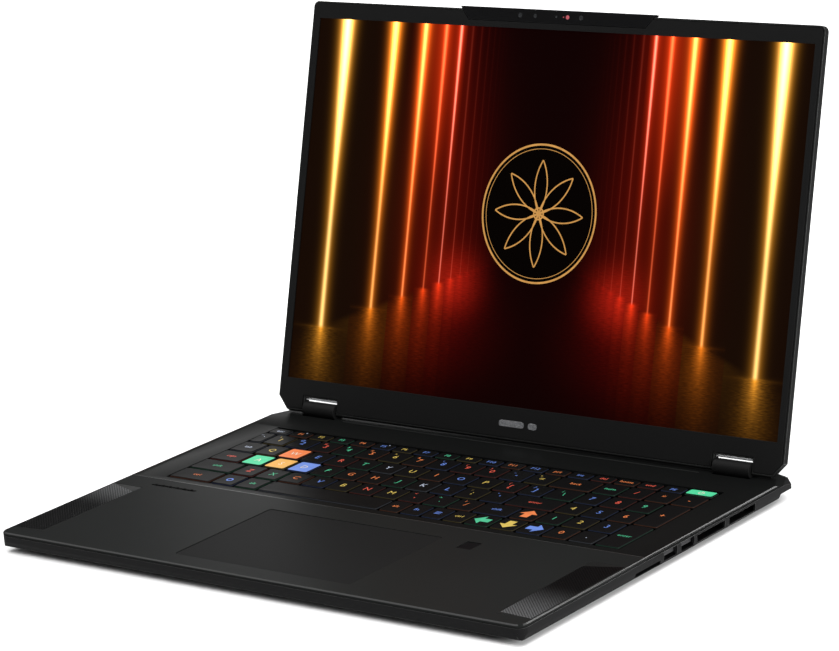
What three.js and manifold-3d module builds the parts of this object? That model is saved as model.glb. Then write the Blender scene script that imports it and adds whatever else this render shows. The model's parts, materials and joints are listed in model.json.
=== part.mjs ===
// Laptop computer with an 18-inch screen, standing open on a table.
// Millimetres. +X is the user's right, -Y the front edge, +Z up.
// The origin is under the middle of the open laptop, on the table.

import * as THREE from 'three';
import { mergeVertices } from 'three/addons/utils/BufferGeometryUtils.js';
import Module from 'manifold-3d';

const wasm = await Module();
wasm.setup();

// ---------------------------------------------------------------- driving dimensions

const WIDTH = 399.9;
const DEPTH = 289.6;
const HALF = WIDTH / 2;
const GAP = 0.3;                 // seam between pieces that touch

// Base heights above the table
const DECK_TOP = 13.6;
const DECK_THICK = 2.0;
const DECK_BOTTOM = DECK_TOP - DECK_THICK;
const TUB_TOP = DECK_BOTTOM - GAP;
const BELLY = 1.6;
const BELLY_THICK = 1.2;
const FLOOR = BELLY + BELLY_THICK;
const WALL = 1.6;
const KNEE_Z = 7.8;              // the side wall turns inwards below this
const SILL_Z = 4.4;              // and ends here, where the underside slopes in to the belly
const INNER_SILL_Z = 5.0;        // the same corner on the inside
const SILL_IN = 0.8;
const BELLY_IN = 10.5;
const CORNER_R = 6;
const EDGE_BEVEL = 0.8;
const REAR_SLOPE = 6;            // run of the sloping rear edge
const REAR_DROP = 5.2;           // its fall
const REAR_CUT = 10;             // the rear corners are cut off by this much in plan
const REAR_LIFT = { inner: 186, back: 27, run: 5.2, height: 6.8 };  // and raised underneath

// Sunken keyboard zone and key field, y from the front edge
const ZONE_FRONT = 124;
const ZONE_REAR = 243;
const ZONE_DROP = 0.6;
const ZONE_SLOPE = 1.6;
const FIELD_LEFT = -176;
const FIELD_FRONT = 129.4;
const ROW_PITCH = 19.8;
const COLUMN = 19.25;            // pitch of a one-unit key
const TOP_ROW_DEPTH = 11.2;
const TOP_ROW_PITCH = 17.35;
const KEY_GAP = 2.1;
const KEY_TOP = DECK_TOP - 0.1;
const KEY_HEIGHT = 1.4;
const KEY_TRAVEL = 1.5;
const FIELD_MARGIN = 1.2;        // from the outer keys to the opening's edge

// Palm rest
const TOUCHPAD_HALF = 66.8;
const TOUCHPAD_FRONT = 14.4;
const TOUCHPAD_REAR = 103.2;
const READER = { x: 90.5, y: 97.8, width: 10, depth: 11.4 };
const SPEAKER = { inner: 174, outer: 198, front: 11.5, rear: 104, sunk: 0.5 };
const LIGHT_SLOT = { x: -154.7, y: 111.2, width: 35.6, depth: 1.1 };

// Lid. Its own frame: x across, y up from the hinge axis, z out of the screen
const OPEN_ANGLE = THREE.MathUtils.degToRad(106.6);
const HINGE_Y = 273.1;           // equal to the lid's length, so the closed edges are flush
const HINGE_Z = DECK_TOP + 3.45;
const LID_HALF_THICK = 2.9;
const COVER_SKIN = 1.0;
const COVER_RIM = 1.2;
const BEZEL_THICK = 1.1;
const LID_CORNER_R = 4;
const LID_BEVEL = 1;
const CHIN_CUT_X = 8.8;          // chamfer at the lid's lower corners
const CHIN_CUT_TOP = 6.9;
const SCREEN_WIDTH = 387.7;
const SCREEN_HEIGHT = 242.3;
const SCREEN_BOTTOM = 19.5;

// Hinge barrels, x measured from the middle
const BARREL_IN = 150.2;
const BARREL_OUT = 177;
const BARREL_R = 5.2;
const NOTCH_CLEAR = 0.6;
const NOTCH_TOP = 7.3;
const SHAFT_R = 1.4;
const SHAFT_BORE_R = 1.5;

// Camera strip on the lid's top edge
const CAMERA_TOP_HALF = 76.6;
const CAMERA_BOTTOM_HALF = 69.2;
const CAMERA_BOTTOM = SCREEN_BOTTOM + 246.5;
const CAMERA_TOP = HINGE_Y + 1.5;

// Cooling
const FAN_X = 140;
const FAN_Y = 205;
const FAN_SIDE = 86;
const FAN_LOW = FLOOR + 0.4;
const FAN_HIGH = 9.3;
const FAN_BORE_R = 37;
const FAN_INLET_R = 27;
const ROTOR_R = 34;

// The open lid's upper back edge is the rearmost point, so it sets the middle of the depth
const LID_REACH = (LID_BEVEL - HINGE_Y) * Math.cos(OPEN_ANGLE) + LID_HALF_THICK * Math.sin(OPEN_ANGLE);
const MIDDLE_Y = (HINGE_Y + LID_REACH) / 2;

// ---------------------------------------------------------------- materials

function material(color, roughness, metalness) {
  return new THREE.MeshStandardMaterial({ color, roughness, metalness });
}

const BLACK_METAL = material(0x232427, 0.5, 0.6);
const BLACK_PLASTIC = material(0x1b1c1e, 0.6, 0);
const KEY_PLASTIC = material(0x17181a, 0.55, 0);
const GLOSS_BLACK = material(0x0b0b0d, 0.15, 0);
const SCREEN_GLASS = material(0x8a4a14, 0.3, 0);
const STEEL = material(0x9a9da1, 0.35, 0.9);
const COPPER = material(0xb06a3a, 0.35, 0.9);
const BOARD_GREEN = material(0x14341f, 0.6, 0);
const RUBBER = material(0x101010, 0.9, 0);
const CELL_GREY = material(0x3a3c40, 0.5, 0);
const KEY_ORANGE = material(0xe8763c, 0.5, 0);
const KEY_GREEN = material(0x4fd6a0, 0.5, 0);
const KEY_AMBER = material(0xe9b44c, 0.5, 0);
const KEY_BLUE = material(0x6f8ce8, 0.5, 0);

// ---------------------------------------------------------------- solids

function solid(geometry) {
  geometry.deleteAttribute('normal');
  geometry.deleteAttribute('uv');
  const merged = mergeVertices(geometry, 1e-4);
  return new wasm.Manifold(new wasm.Mesh({
    numProp: 3,
    vertProperties: merged.attributes.position.array,
    triVerts: Uint32Array.from(merged.index.array),
  }));
}

function block(x0, x1, y0, y1, z0, z1) {
  const geometry = new THREE.BoxGeometry(x1 - x0, y1 - y0, z1 - z0);
  geometry.translate((x0 + x1) / 2, (y0 + y1) / 2, (z0 + z1) / 2);
  return solid(geometry);
}

function cylinderZ(x, y, z0, z1, radius, sides = 32) {
  const geometry = new THREE.CylinderGeometry(radius, radius, z1 - z0, sides);
  geometry.rotateX(Math.PI / 2);
  geometry.translate(x, y, (z0 + z1) / 2);
  return solid(geometry);
}

function cylinderX(x0, x1, y, z, radius, sides = 24) {
  const geometry = new THREE.CylinderGeometry(radius, radius, x1 - x0, sides);
  geometry.rotateZ(Math.PI / 2);
  geometry.translate((x0 + x1) / 2, y, z);
  return solid(geometry);
}

function polygon(points) {
  return new THREE.Shape(points.map(([a, b]) => new THREE.Vector2(a, b)));
}

function plate(shape, z0, z1, curveSegments = 6) {
  const geometry = new THREE.ExtrudeGeometry(shape, { depth: z1 - z0, bevelEnabled: false, curveSegments });
  geometry.translate(0, 0, z0);
  return solid(geometry);
}

// A plate whose two faces are bevelled at their edges, within the shape's own outline.
function bevelledPlate(shape, z0, z1, bevel) {
  const geometry = new THREE.ExtrudeGeometry(shape, {
    depth: z1 - z0 - 2 * bevel,
    bevelThickness: bevel,
    bevelSize: bevel,
    bevelOffset: -bevel,
    bevelSegments: 1,
    curveSegments: 6,
  });
  geometry.translate(0, 0, z0 + bevel);
  return solid(geometry);
}

// A side profile of [y, z] points, or a Shape of them, run along x.
function profileAlongX(profile, x0, x1) {
  const shape = Array.isArray(profile) ? polygon(profile) : profile;
  const settings = { depth: x1 - x0, bevelEnabled: false, curveSegments: 12 };
  const geometry = new THREE.ExtrudeGeometry(shape, settings);
  const turn = new THREE.Matrix4().makeBasis(
    new THREE.Vector3(0, 1, 0),
    new THREE.Vector3(0, 0, 1),
    new THREE.Vector3(1, 0, 0),
  );
  geometry.applyMatrix4(turn);
  geometry.translate(x0, 0, 0);
  return solid(geometry);
}

// A front profile of [x, z] points, run along y.
function profileAlongY(profile, y0, y1) {
  const geometry = new THREE.ExtrudeGeometry(polygon(profile), { depth: y1 - y0, bevelEnabled: false });
  const turn = new THREE.Matrix4().makeBasis(
    new THREE.Vector3(1, 0, 0),
    new THREE.Vector3(0, 0, 1),
    new THREE.Vector3(0, -1, 0),
  );
  geometry.applyMatrix4(turn);
  geometry.translate(0, y1, 0);
  return solid(geometry);
}

function roundedRectangle(x0, x1, y0, y1, radius) {
  const shape = new THREE.Shape();
  shape.absarc(x1 - radius, y0 + radius, radius, -Math.PI / 2, 0);
  shape.absarc(x1 - radius, y1 - radius, radius, 0, Math.PI / 2);
  shape.absarc(x0 + radius, y1 - radius, radius, Math.PI / 2, Math.PI);
  shape.absarc(x0 + radius, y0 + radius, radius, Math.PI, 1.5 * Math.PI);
  return shape;
}

function join(...pieces) {
  return pieces.reduce((whole, piece) => whole.add(piece));
}

function cut(whole, ...tools) {
  return tools.reduce((rest, tool) => rest.subtract(tool), whole);
}

function mirrored(shape, side) {
  return side > 0 ? shape : shape.mirror([1, 0, 0]);
}

const laptop = new THREE.Group();
const base = new THREE.Group();
base.position.set(0, -MIDDLE_Y, 0);
const lid = new THREE.Group();
lid.position.set(0, HINGE_Y - MIDDLE_Y, HINGE_Z);
lid.rotation.x = Math.PI - OPEN_ANGLE;
laptop.add(base, lid);

function add(parent, name, shape, look) {
  const mesh = shape.getMesh();
  const geometry = new THREE.BufferGeometry();
  geometry.setAttribute('position', new THREE.BufferAttribute(mesh.vertProperties, 3));
  geometry.setIndex(new THREE.BufferAttribute(mesh.triVerts, 1));
  const part = new THREE.Mesh(geometry, look);
  part.name = name;
  parent.add(part);
}

const SIDES = [['left', -1], ['right', 1]];

// ---------------------------------------------------------------- base casing

function rearEdgeAt(z) {
  return DEPTH - REAR_SLOPE * Math.max(0, z - (DECK_TOP - REAR_DROP)) / REAR_DROP;
}

// Planes that trim the right rear corner: one slopes down outwards, one is upright.
const REAR_FACET = new THREE.Plane().setFromCoplanarPoints(
  new THREE.Vector3(HALF, DEPTH - 28.8, DECK_TOP),
  new THREE.Vector3(HALF - 14.6, DEPTH, DECK_TOP),
  new THREE.Vector3(HALF, DEPTH - 9, DECK_TOP - 3.9),
);
const REAR_CHAMFER = new THREE.Plane(
  new THREE.Vector3(-1, -1, 0).normalize(),
  (HALF + DEPTH - REAR_CUT) / Math.SQRT2,
);

function trimRearCorners(shape, inset) {
  let rest = shape;
  for (const plane of [REAR_FACET, REAR_CHAMFER]) {
    const { x, y, z } = plane.normal;
    rest = rest.trimByPlane([x, y, z], inset - plane.constant);
    rest = rest.trimByPlane([-x, y, z], inset - plane.constant);
  }
  return rest;
}

function rearLift(inset, side) {
  const top = REAR_LIFT.height + inset;
  const start = DEPTH - REAR_LIFT.back - inset;
  const profile = [[start, 0], [start + REAR_LIFT.run, top], [DEPTH + 1, top], [DEPTH + 1, 0]];
  return mirrored(profileAlongX(profile, REAR_LIFT.inner - inset, HALF + 1), side);
}

// The tub's outside when inset is 0, and its hollow when inset is the wall's thickness.
function tubSolid(inset, floor, sill, top) {
  const knees = [[0, KNEE_Z], [SILL_IN, sill], [BELLY_IN, floor]];
  const front = knees.map(([d, z]) => [inset + d, z]);
  const rear = knees.map(([d, z]) => [DEPTH - inset - d, z]).reverse();
  const slopeStart = DECK_TOP - REAR_DROP;
  const sideProfile = [
    [inset, top], ...front, ...rear,
    [DEPTH - inset, slopeStart],
    [rearEdgeAt(top) - inset, top],
  ];
  const right = knees.map(([d, z]) => [HALF - inset - d, z]);
  const left = right.map(([x, z]) => [-x, z]).reverse();
  const frontProfile = [[HALF - inset, top], ...right, ...left, [-HALF + inset, top]];
  const outline = roundedRectangle(-HALF + inset, HALF - inset, inset, DEPTH - inset, CORNER_R - inset);
  const body = plate(outline, floor, top)
    .intersect(profileAlongX(sideProfile, -HALF, HALF))
    .intersect(profileAlongY(frontProfile, 0, DEPTH));
  return cut(trimRearCorners(body, inset), rearLift(inset, 1), rearLift(inset, -1));
}

const VENT = { slot: 2.4, pitch: 3.9 };
const SIDE_VENTS = { spans: [[175.3, 205.3], [210, 238.8]], low: 5.4, high: 10 };
const REAR_VENT = { inner: 98, outer: 184, low: 5.0, high: 7.7 };
const INTAKE_HALF = 30;

function slots(start, end, makeSlot) {
  const count = Math.floor((end - start) / VENT.pitch);
  const first = (start + end) / 2 - (count - 1) * VENT.pitch / 2;
  return Array.from({ length: count }, (_, i) => makeSlot(first + i * VENT.pitch));
}

function ventCuts(side) {
  const reach = 8;
  const half = VENT.slot / 2;
  const wallOpenings = SIDE_VENTS.spans.map(([start, end]) =>
    block(HALF - reach, HALF + reach, start, end, SIDE_VENTS.low, SIDE_VENTS.high));
  const rearSlots = slots(REAR_VENT.inner, REAR_VENT.outer, (x) =>
    block(x - half, x + half, DEPTH - reach, DEPTH + reach, REAR_VENT.low, REAR_VENT.high));
  const intakeSlots = slots(FAN_X - INTAKE_HALF, FAN_X + INTAKE_HALF, (x) => {
    const reachY = Math.sqrt(INTAKE_HALF ** 2 - (x - FAN_X) ** 2);
    return block(x - half, x + half, FAN_Y - reachY, FAN_Y + reachY, 0, FLOOR + 1);
  });
  return [...wallOpenings, ...rearSlots, ...intakeSlots].map((slot) => mirrored(slot, side));
}

// Sockets: y and z of the middle, width along y, height, how far in they reach.
const USB_A = { z: 7.7, width: 13.2, height: 5.7, reach: 13 };
const SOCKETS = {
  usb_a_port_front: { side: 1, y: 147.3, ...USB_A },
  usb_a_port_rear: { side: 1, y: 165.5, ...USB_A },
  power_inlet: { side: -1, y: 247.5, z: 7.6, width: 12.4, height: 5.4, reach: 12 },
  hdmi_port: { side: -1, y: 160, z: 7.7, width: 15, height: 5.5, reach: 12 },
  usb_c_port: { side: -1, y: 139, z: 7.0, width: 9.2, height: 3.4, reach: 9 },
  audio_jack: { side: -1, y: 122, z: 7.9, width: 6, height: 6, reach: 13 },
};
const CARD = { y: 124, z: 5.9, width: 25.4, height: 1.8, reach: 30 };

function socketBlock({ side, y, z, width, height, reach }, grow, outwards) {
  const body = block(
    HALF - 0.9 - reach - grow, HALF - 0.9 + outwards,
    y - width / 2 - grow, y + width / 2 + grow,
    z - height / 2 - grow, z + height / 2 + grow,
  );
  return mirrored(body, side);
}

const FEET = {
  front_foot_left: [-172, -132, 12, 21],
  front_foot_right: [132, 172, 12, 21],
  rear_foot: [-150, 150, 262, 271],
};
const FOOT_SEAT = 0.6;

function bottomCover() {
  const cavity = tubSolid(WALL, FLOOR, INNER_SILL_Z, TUB_TOP + 1);
  const shell = tubSolid(0, BELLY, SILL_Z, TUB_TOP).subtract(cavity);
  const socketHoles = Object.values(SOCKETS).map((socket) => socketBlock(socket, GAP, 5));
  const cardHole = socketBlock({ side: 1, ...CARD }, GAP, 5);
  const footSeats = Object.values(FEET).map(([x0, x1, y0, y1]) =>
    block(x0 - GAP, x1 + GAP, y0 - GAP, y1 + GAP, 0, BELLY + FOOT_SEAT));
  return cut(shell, ...ventCuts(1), ...ventCuts(-1), ...socketHoles, cardHole, ...footSeats);
}

add(base, 'bottom_cover', bottomCover(), BLACK_METAL);

for (const [name, [x0, x1, y0, y1]] of Object.entries(FEET)) {
  add(base, name, plate(roundedRectangle(x0, x1, y0, y1, 4), 0, BELLY + FOOT_SEAT - GAP), RUBBER);
}

const FIELD_RIGHT = -FIELD_LEFT;
const FIELD_REAR = FIELD_FRONT + 5 * ROW_PITCH + TOP_ROW_DEPTH;
const OPENING = {
  left: FIELD_LEFT - FIELD_MARGIN + KEY_GAP / 2,
  right: FIELD_RIGHT + FIELD_MARGIN - KEY_GAP / 2,
  front: FIELD_FRONT - FIELD_MARGIN + KEY_GAP / 2,
  rear: FIELD_REAR + FIELD_MARGIN + KEY_GAP / 2,
};

function palmRestDeck() {
  const outline = roundedRectangle(-HALF, HALF, 0, DEPTH, CORNER_R);
  const profile = [
    [0, DECK_BOTTOM], [rearEdgeAt(DECK_BOTTOM), DECK_BOTTOM], [rearEdgeAt(DECK_TOP), DECK_TOP],
    [ZONE_REAR + ZONE_SLOPE, DECK_TOP], [ZONE_REAR, DECK_TOP - ZONE_DROP],
    [ZONE_FRONT, DECK_TOP - ZONE_DROP], [ZONE_FRONT - ZONE_SLOPE, DECK_TOP], [0, DECK_TOP],
  ];
  const body = trimRearCorners(bevelledPlate(outline, DECK_TOP - 8, DECK_TOP, EDGE_BEVEL), 0)
    .intersect(profileAlongX(profile, -HALF, HALF));
  const high = DECK_TOP + 1;
  const low = DECK_BOTTOM - 1;
  const keyOpening = block(OPENING.left, OPENING.right, OPENING.front, OPENING.rear, low, high);
  const padOpening = plate(
    roundedRectangle(-TOUCHPAD_HALF - GAP, TOUCHPAD_HALF + GAP, TOUCHPAD_FRONT - GAP, TOUCHPAD_REAR + GAP, 2),
    low, high, 3,
  );
  const readerOpening = block(
    READER.x - READER.width / 2 - GAP, READER.x + READER.width / 2 + GAP,
    READER.y - READER.depth / 2 - GAP, READER.y + READER.depth / 2 + GAP, low, high,
  );
  const lightSlot = block(
    LIGHT_SLOT.x - LIGHT_SLOT.width / 2, LIGHT_SLOT.x + LIGHT_SLOT.width / 2,
    LIGHT_SLOT.y - LIGHT_SLOT.depth / 2, LIGHT_SLOT.y + LIGHT_SLOT.depth / 2, DECK_TOP - 0.8, high,
  );
  const speakerSeats = SIDES.map(([, side]) => mirrored(
    block(SPEAKER.inner, SPEAKER.outer, SPEAKER.front, SPEAKER.rear, DECK_TOP - SPEAKER.sunk, high), side));
  const barrelSeats = SIDES.map(([, side]) => mirrored(block(
    BARREL_IN - NOTCH_CLEAR, BARREL_OUT + NOTCH_CLEAR,
    HINGE_Y - BARREL_R, HINGE_Y + BARREL_R, low, high,
  ), side));
  return cut(body, keyOpening, padOpening, readerOpening, lightSlot, ...speakerSeats, ...barrelSeats);
}

add(base, 'palm_rest_deck', palmRestDeck(), BLACK_METAL);

// ---------------------------------------------------------------- palm rest pieces

add(base, 'touchpad', plate(
  roundedRectangle(-TOUCHPAD_HALF, TOUCHPAD_HALF, TOUCHPAD_FRONT, TOUCHPAD_REAR, 1.8),
  DECK_TOP - 1.4, DECK_TOP - 0.2, 3,
), BLACK_METAL);

add(base, 'fingerprint_reader', block(
  READER.x - READER.width / 2, READER.x + READER.width / 2,
  READER.y - READER.depth / 2, READER.y + READER.depth / 2, DECK_TOP - 1.8, DECK_TOP - 0.4,
), GLOSS_BLACK);

// ---------------------------------------------------------------- keyboard

// A key cap with sloping sides, over its cell of the key field.
function keyCap(x0, x1, y0, y1) {
  const taper = 0.5;
  const geometry = new THREE.BoxGeometry(x1 - x0 - KEY_GAP, y1 - y0 - KEY_GAP, KEY_HEIGHT);
  const place = geometry.attributes.position;
  for (let i = 0; i < place.count; i += 1) {
    if (place.getZ(i) > 0) {
      place.setX(i, place.getX(i) - Math.sign(place.getX(i)) * taper);
      place.setY(i, place.getY(i) - Math.sign(place.getY(i)) * taper);
    }
  }
  geometry.translate((x0 + x1) / 2, (y0 + y1) / 2, KEY_TOP - KEY_HEIGHT / 2);
  return solid(geometry);
}

// Rows count from the front: row 0 holds the space bar and row 5 the function keys.
function rowFront(row) {
  return FIELD_FRONT + row * ROW_PITCH;
}

function rowRear(row) {
  return row === 5 ? FIELD_REAR : rowFront(row + 1);
}

const LETTERS_1 = -164.5;                       // left edge of the digit 1's cell
const LETTERS_2 = LETTERS_1 + COLUMN / 2;       // of Q
const LETTERS_3 = LETTERS_2 + COLUMN / 4;       // of A
const LETTERS_4 = LETTERS_3 + COLUMN / 2;       // of Z
const NUMPAD = FIELD_RIGHT - 4 * COLUMN;
const SPACE_END = -4.5;
const ARROWS = NUMPAD - 2 * COLUMN;

// Cells of one row: edges from left to right. A skipped cell belongs to a key of its own.
function cells(row, edges, skipped = []) {
  return edges.slice(1)
    .map((edge, i) => ({ x0: edges[i], x1: edge, row, rowEnd: row }))
    .filter((_, i) => !skipped.includes(i));
}

function steps(start, pitch, count) {
  return Array.from({ length: count + 1 }, (_, i) => start + i * pitch);
}

function capsOf(list) {
  return list.map(({ x0, x1, row, rowEnd }) => keyCap(x0, x1, rowFront(row), rowRear(rowEnd)));
}

// Keys that move as one are carried by a thin rib in the gap behind their row.
const RIB = 0.7;
const RIB_HEIGHT = 0.6;

function rib(x0, x1, y0, y1) {
  return block(x0, x1, y0, y1, KEY_TOP - KEY_HEIGHT, KEY_TOP - KEY_HEIGHT + RIB_HEIGHT);
}

function ribbedKeys(list) {
  const caps = capsOf(list);
  const links = list.map(({ x0, x1, rowEnd }) => {
    const middle = (x0 + x1) / 2;
    const rear = rowRear(rowEnd);
    return rib(middle - 1, middle + 1, rear - KEY_GAP, rear + RIB / 2);
  });
  const ends = list.map(({ x0, x1 }) => (x0 + x1) / 2);
  const rear = rowRear(list[0].rowEnd);
  const spine = rib(Math.min(...ends) - 1, Math.max(...ends) + 1, rear - RIB / 2, rear + RIB / 2);
  return join(...caps, ...links, spine);
}

const ROWS = {
  function_row_keys: cells(5, steps(FIELD_LEFT, TOP_ROW_PITCH, 19)),
  number_row_keys: cells(4, [FIELD_LEFT, ...steps(LETTERS_1, COLUMN, 12)]),
  upper_letter_keys: cells(3, [FIELD_LEFT, ...steps(LETTERS_2, COLUMN, 12), NUMPAD], [2]),
  home_row_keys: cells(2, [FIELD_LEFT, ...steps(LETTERS_3, COLUMN, 11)], [1, 2, 3]),
  lower_letter_keys: cells(1, [...steps(LETTERS_4, COLUMN, 10), ARROWS + COLUMN]),
  modifier_keys: cells(0, [
    FIELD_LEFT, LETTERS_4, LETTERS_4 + COLUMN, LETTERS_4 + 2 * COLUMN,
    ...steps(SPACE_END, (ARROWS - SPACE_END) / 4, 4),
  ], [3]),
};

for (const [name, list] of Object.entries(ROWS)) {
  add(base, name, ribbedKeys(list), KEY_PLASTIC);
}

// The number pad's plus and Enter keys are two rows tall.
function numpadKeys() {
  const edges = steps(NUMPAD, COLUMN, 4);
  const column = (i, row, rowEnd = row) => ({ x0: edges[i], x1: edges[i + 1], row, rowEnd });
  const list = [
    ...[0, 1, 2, 3].map((i) => column(i, 4)),
    ...[1, 2, 3].flatMap((row) => [0, 1, 2].map((i) => column(i, row))),
    ...[1, 2].map((i) => column(i, 0)),
    column(3, 2, 3),
    column(3, 0, 1),
  ];
  const spineX = edges[1];
  const spine = rib(spineX - RIB / 2, spineX + RIB / 2, rowFront(0) + KEY_GAP, rowRear(4) - KEY_GAP);
  const tail = rib(edges[2] - 2, edges[3] + 2, rowFront(0) + 6, rowFront(0) + 8);
  const rungs = [1, 2, 3, 4].map((row) => {
    const middle = rowFront(row) + ROW_PITCH / 2;
    return rib(edges[0] + 4, edges[3] + 2, middle - 1, middle + 1);
  });
  return join(...capsOf(list), spine, tail, ...rungs);
}

add(base, 'numpad_keys', numpadKeys(), KEY_PLASTIC);

const SINGLE_KEYS = {
  key_w: [LETTERS_2 + COLUMN, LETTERS_2 + 2 * COLUMN, 3, KEY_ORANGE],
  key_a: [LETTERS_3, LETTERS_3 + COLUMN, 2, KEY_GREEN],
  key_s: [LETTERS_3 + COLUMN, LETTERS_3 + 2 * COLUMN, 2, KEY_AMBER],
  key_d: [LETTERS_3 + 2 * COLUMN, LETTERS_3 + 3 * COLUMN, 2, KEY_BLUE],
  key_arrow_up: [ARROWS + COLUMN, NUMPAD, 1, KEY_ORANGE],
  key_arrow_left: [ARROWS, ARROWS + COLUMN, 0, KEY_GREEN],
  key_arrow_down: [ARROWS + COLUMN, NUMPAD, 0, KEY_AMBER],
  key_arrow_right: [NUMPAD, NUMPAD + COLUMN, 0, KEY_BLUE],
  space_bar: [LETTERS_4 + 2 * COLUMN, SPACE_END, 0, KEY_PLASTIC],
  enter_key: [LETTERS_3 + 11 * COLUMN, NUMPAD, 2, KEY_PLASTIC],
  backspace_key: [LETTERS_1 + 12 * COLUMN, NUMPAD, 4, KEY_PLASTIC],
  left_shift_key: [FIELD_LEFT, LETTERS_4, 1, KEY_PLASTIC],
  power_key: [FIELD_LEFT + 19 * TOP_ROW_PITCH, FIELD_RIGHT, 5, KEY_GREEN],
};

for (const [name, [x0, x1, row, look]] of Object.entries(SINGLE_KEYS)) {
  add(base, name, keyCap(x0, x1, rowFront(row), rowRear(row)), look);
}

// Steel tray under the keys, hung from the deck by its rim.
function keyboardBackplate() {
  const margin = 4;
  const top = DECK_BOTTOM - GAP;
  const low = KEY_TOP - KEY_HEIGHT - KEY_TRAVEL - 0.9;
  const tray = block(
    OPENING.left - margin, OPENING.right + margin, OPENING.front - margin, OPENING.rear + margin, low, top);
  const hollow = block(OPENING.left, OPENING.right, OPENING.front, OPENING.rear, low + 0.6, top + 1);
  return tray.subtract(hollow);
}

add(base, 'keyboard_backplate', keyboardBackplate(), STEEL);

// ---------------------------------------------------------------- sockets

function hollowSocket(socket, skin, tongue) {
  const { side, y, z, width, height, reach } = socket;
  const face = HALF - 0.9;
  const bore = block(
    face - reach + 1.5, face + 1,
    y - width / 2 + skin, y + width / 2 - skin, z - height / 2 + skin, z + height / 2 - skin,
  );
  const blade = block(
    face - reach, face - 1.2,
    y - tongue.width / 2, y + tongue.width / 2,
    z + tongue.lift - tongue.height / 2, z + tongue.lift + tongue.height / 2,
  );
  return join(socketBlock(socket, 0, 0).subtract(mirrored(bore, side)), mirrored(blade, side));
}

const USB_TONGUE = { width: 11.1, height: 1.9, lift: 0.9 };
add(base, 'usb_a_port_front', hollowSocket(SOCKETS.usb_a_port_front, 0.35, USB_TONGUE), STEEL);
add(base, 'usb_a_port_rear', hollowSocket(SOCKETS.usb_a_port_rear, 0.35, USB_TONGUE), STEEL);
add(base, 'hdmi_port', hollowSocket(SOCKETS.hdmi_port, 0.5, { width: 12, height: 1.2, lift: 0.4 }), STEEL);
add(base, 'usb_c_port', hollowSocket(SOCKETS.usb_c_port, 0.35, { width: 6.7, height: 0.7, lift: 0 }), STEEL);
const INLET_TONGUE = { width: 9, height: 1.6, lift: 0 };
add(base, 'power_inlet', hollowSocket(SOCKETS.power_inlet, 0.5, INLET_TONGUE), BLACK_PLASTIC);

function audioJack() {
  const { side, y, z } = SOCKETS.audio_jack;
  const bore = cylinderX(HALF - 12, HALF + 2, y, z, 1.8, 20);
  return socketBlock(SOCKETS.audio_jack, 0, 0).subtract(mirrored(bore, side));
}

add(base, 'audio_jack', audioJack(), BLACK_PLASTIC);

function cardReader() {
  const skin = 0.6;
  const face = HALF - WALL - SILL_IN - 3;
  const shell = block(
    face - CARD.reach, face,
    CARD.y - CARD.width / 2 - skin, CARD.y + CARD.width / 2 + skin,
    CARD.z - CARD.height / 2 - skin, CARD.z + CARD.height / 2 + skin,
  );
  const slot = block(
    face - CARD.reach + 3, face + 1,
    CARD.y - CARD.width / 2, CARD.y + CARD.width / 2, CARD.z - CARD.height / 2, CARD.z + CARD.height / 2,
  );
  return shell.subtract(slot);
}

add(base, 'card_reader', cardReader(), STEEL);

// ---------------------------------------------------------------- battery, speakers, boards

function batteryPack() {
  const top = 8.9;
  const low = FLOOR + 0.4;
  const pack = plate(roundedRectangle(-126, 126, 12, 104, 4), low, top, 3);
  const seams = [-63, 0, 63].map((x) => block(x - 0.6, x + 0.6, 15, 101, top - 0.8, top + 1));
  return cut(pack, ...seams);
}

add(base, 'battery_pack', batteryPack(), CELL_GREY);

function speakerBox() {
  const top = DECK_BOTTOM - GAP;
  const box = plate(roundedRectangle(152, 196, 12, 103, 5), FLOOR + 0.4, top, 3)
    .intersect(block(150, HALF - WALL - BELLY_IN + 0.6, 0, 120, 0, 20));
  const cone = new THREE.LatheGeometry(
    [[0, -1], [5, -1], [16, 3], [16, 6], [0, 6]].map(([r, z]) => new THREE.Vector2(r, z)), 28);
  cone.rotateX(Math.PI / 2);
  cone.translate(170, 78, top - 3);
  return box.subtract(solid(cone));
}

for (const [word, side] of SIDES) {
  add(base, `speaker_${word}`, mirrored(speakerBox(), side), BLACK_PLASTIC);
}

const BOARD = { low: 5.6, high: 6.8, front: 143, rear: 262, half: 92 };

function mainboard() {
  const sheet = block(-BOARD.half, BOARD.half, BOARD.front, BOARD.rear, BOARD.low, BOARD.high);
  const processor = block(-52, -22, 196, 222, BOARD.high - 0.1, 7.5);
  const graphics = block(20, 54, 192, 226, BOARD.high - 0.1, 7.5);
  const coils = [-80, -66, 66, 80].map((x) => block(x - 5, x + 5, 176, 186, BOARD.high - 0.1, 9.0));
  const sockets = [-40, 40].map((x) => block(x - 34, x + 34, 144, 150, BOARD.high - 0.1, 8.4));
  return join(sheet, processor, graphics, ...coils, ...sockets);
}

add(base, 'mainboard', mainboard(), BOARD_GREEN);

// A card with chips on its upper face: x, y of the low corner, its size and its height.
function card(x, y, width, depth, low, chipSize) {
  const sheet = block(x, x + width, y, y + depth, low, low + 0.8);
  const chips = [0.2, 0.5, 0.8].map((share) => {
    const middle = x + width * share;
    return block(
      middle - chipSize / 2, middle + chipSize / 2,
      y + depth * 0.25, y + depth * 0.8, low + 0.7, low + 1.8,
    );
  });
  return join(sheet, ...chips);
}

add(base, 'memory_module_lower', card(-75, 110, 69.6, 30, FLOOR + 0.4, 11), BOARD_GREEN);
add(base, 'memory_module_upper', card(-75, 110, 69.6, 30, FLOOR + 2.8, 11), BOARD_GREEN);
add(base, 'ssd_module', card(8, 112, 80, 22, FLOOR + 0.4, 16), BOARD_GREEN);
add(base, 'wifi_card', card(100, 109, 22, 30, FLOOR + 0.4, 5), BOARD_GREEN);

// ---------------------------------------------------------------- cooling

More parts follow.
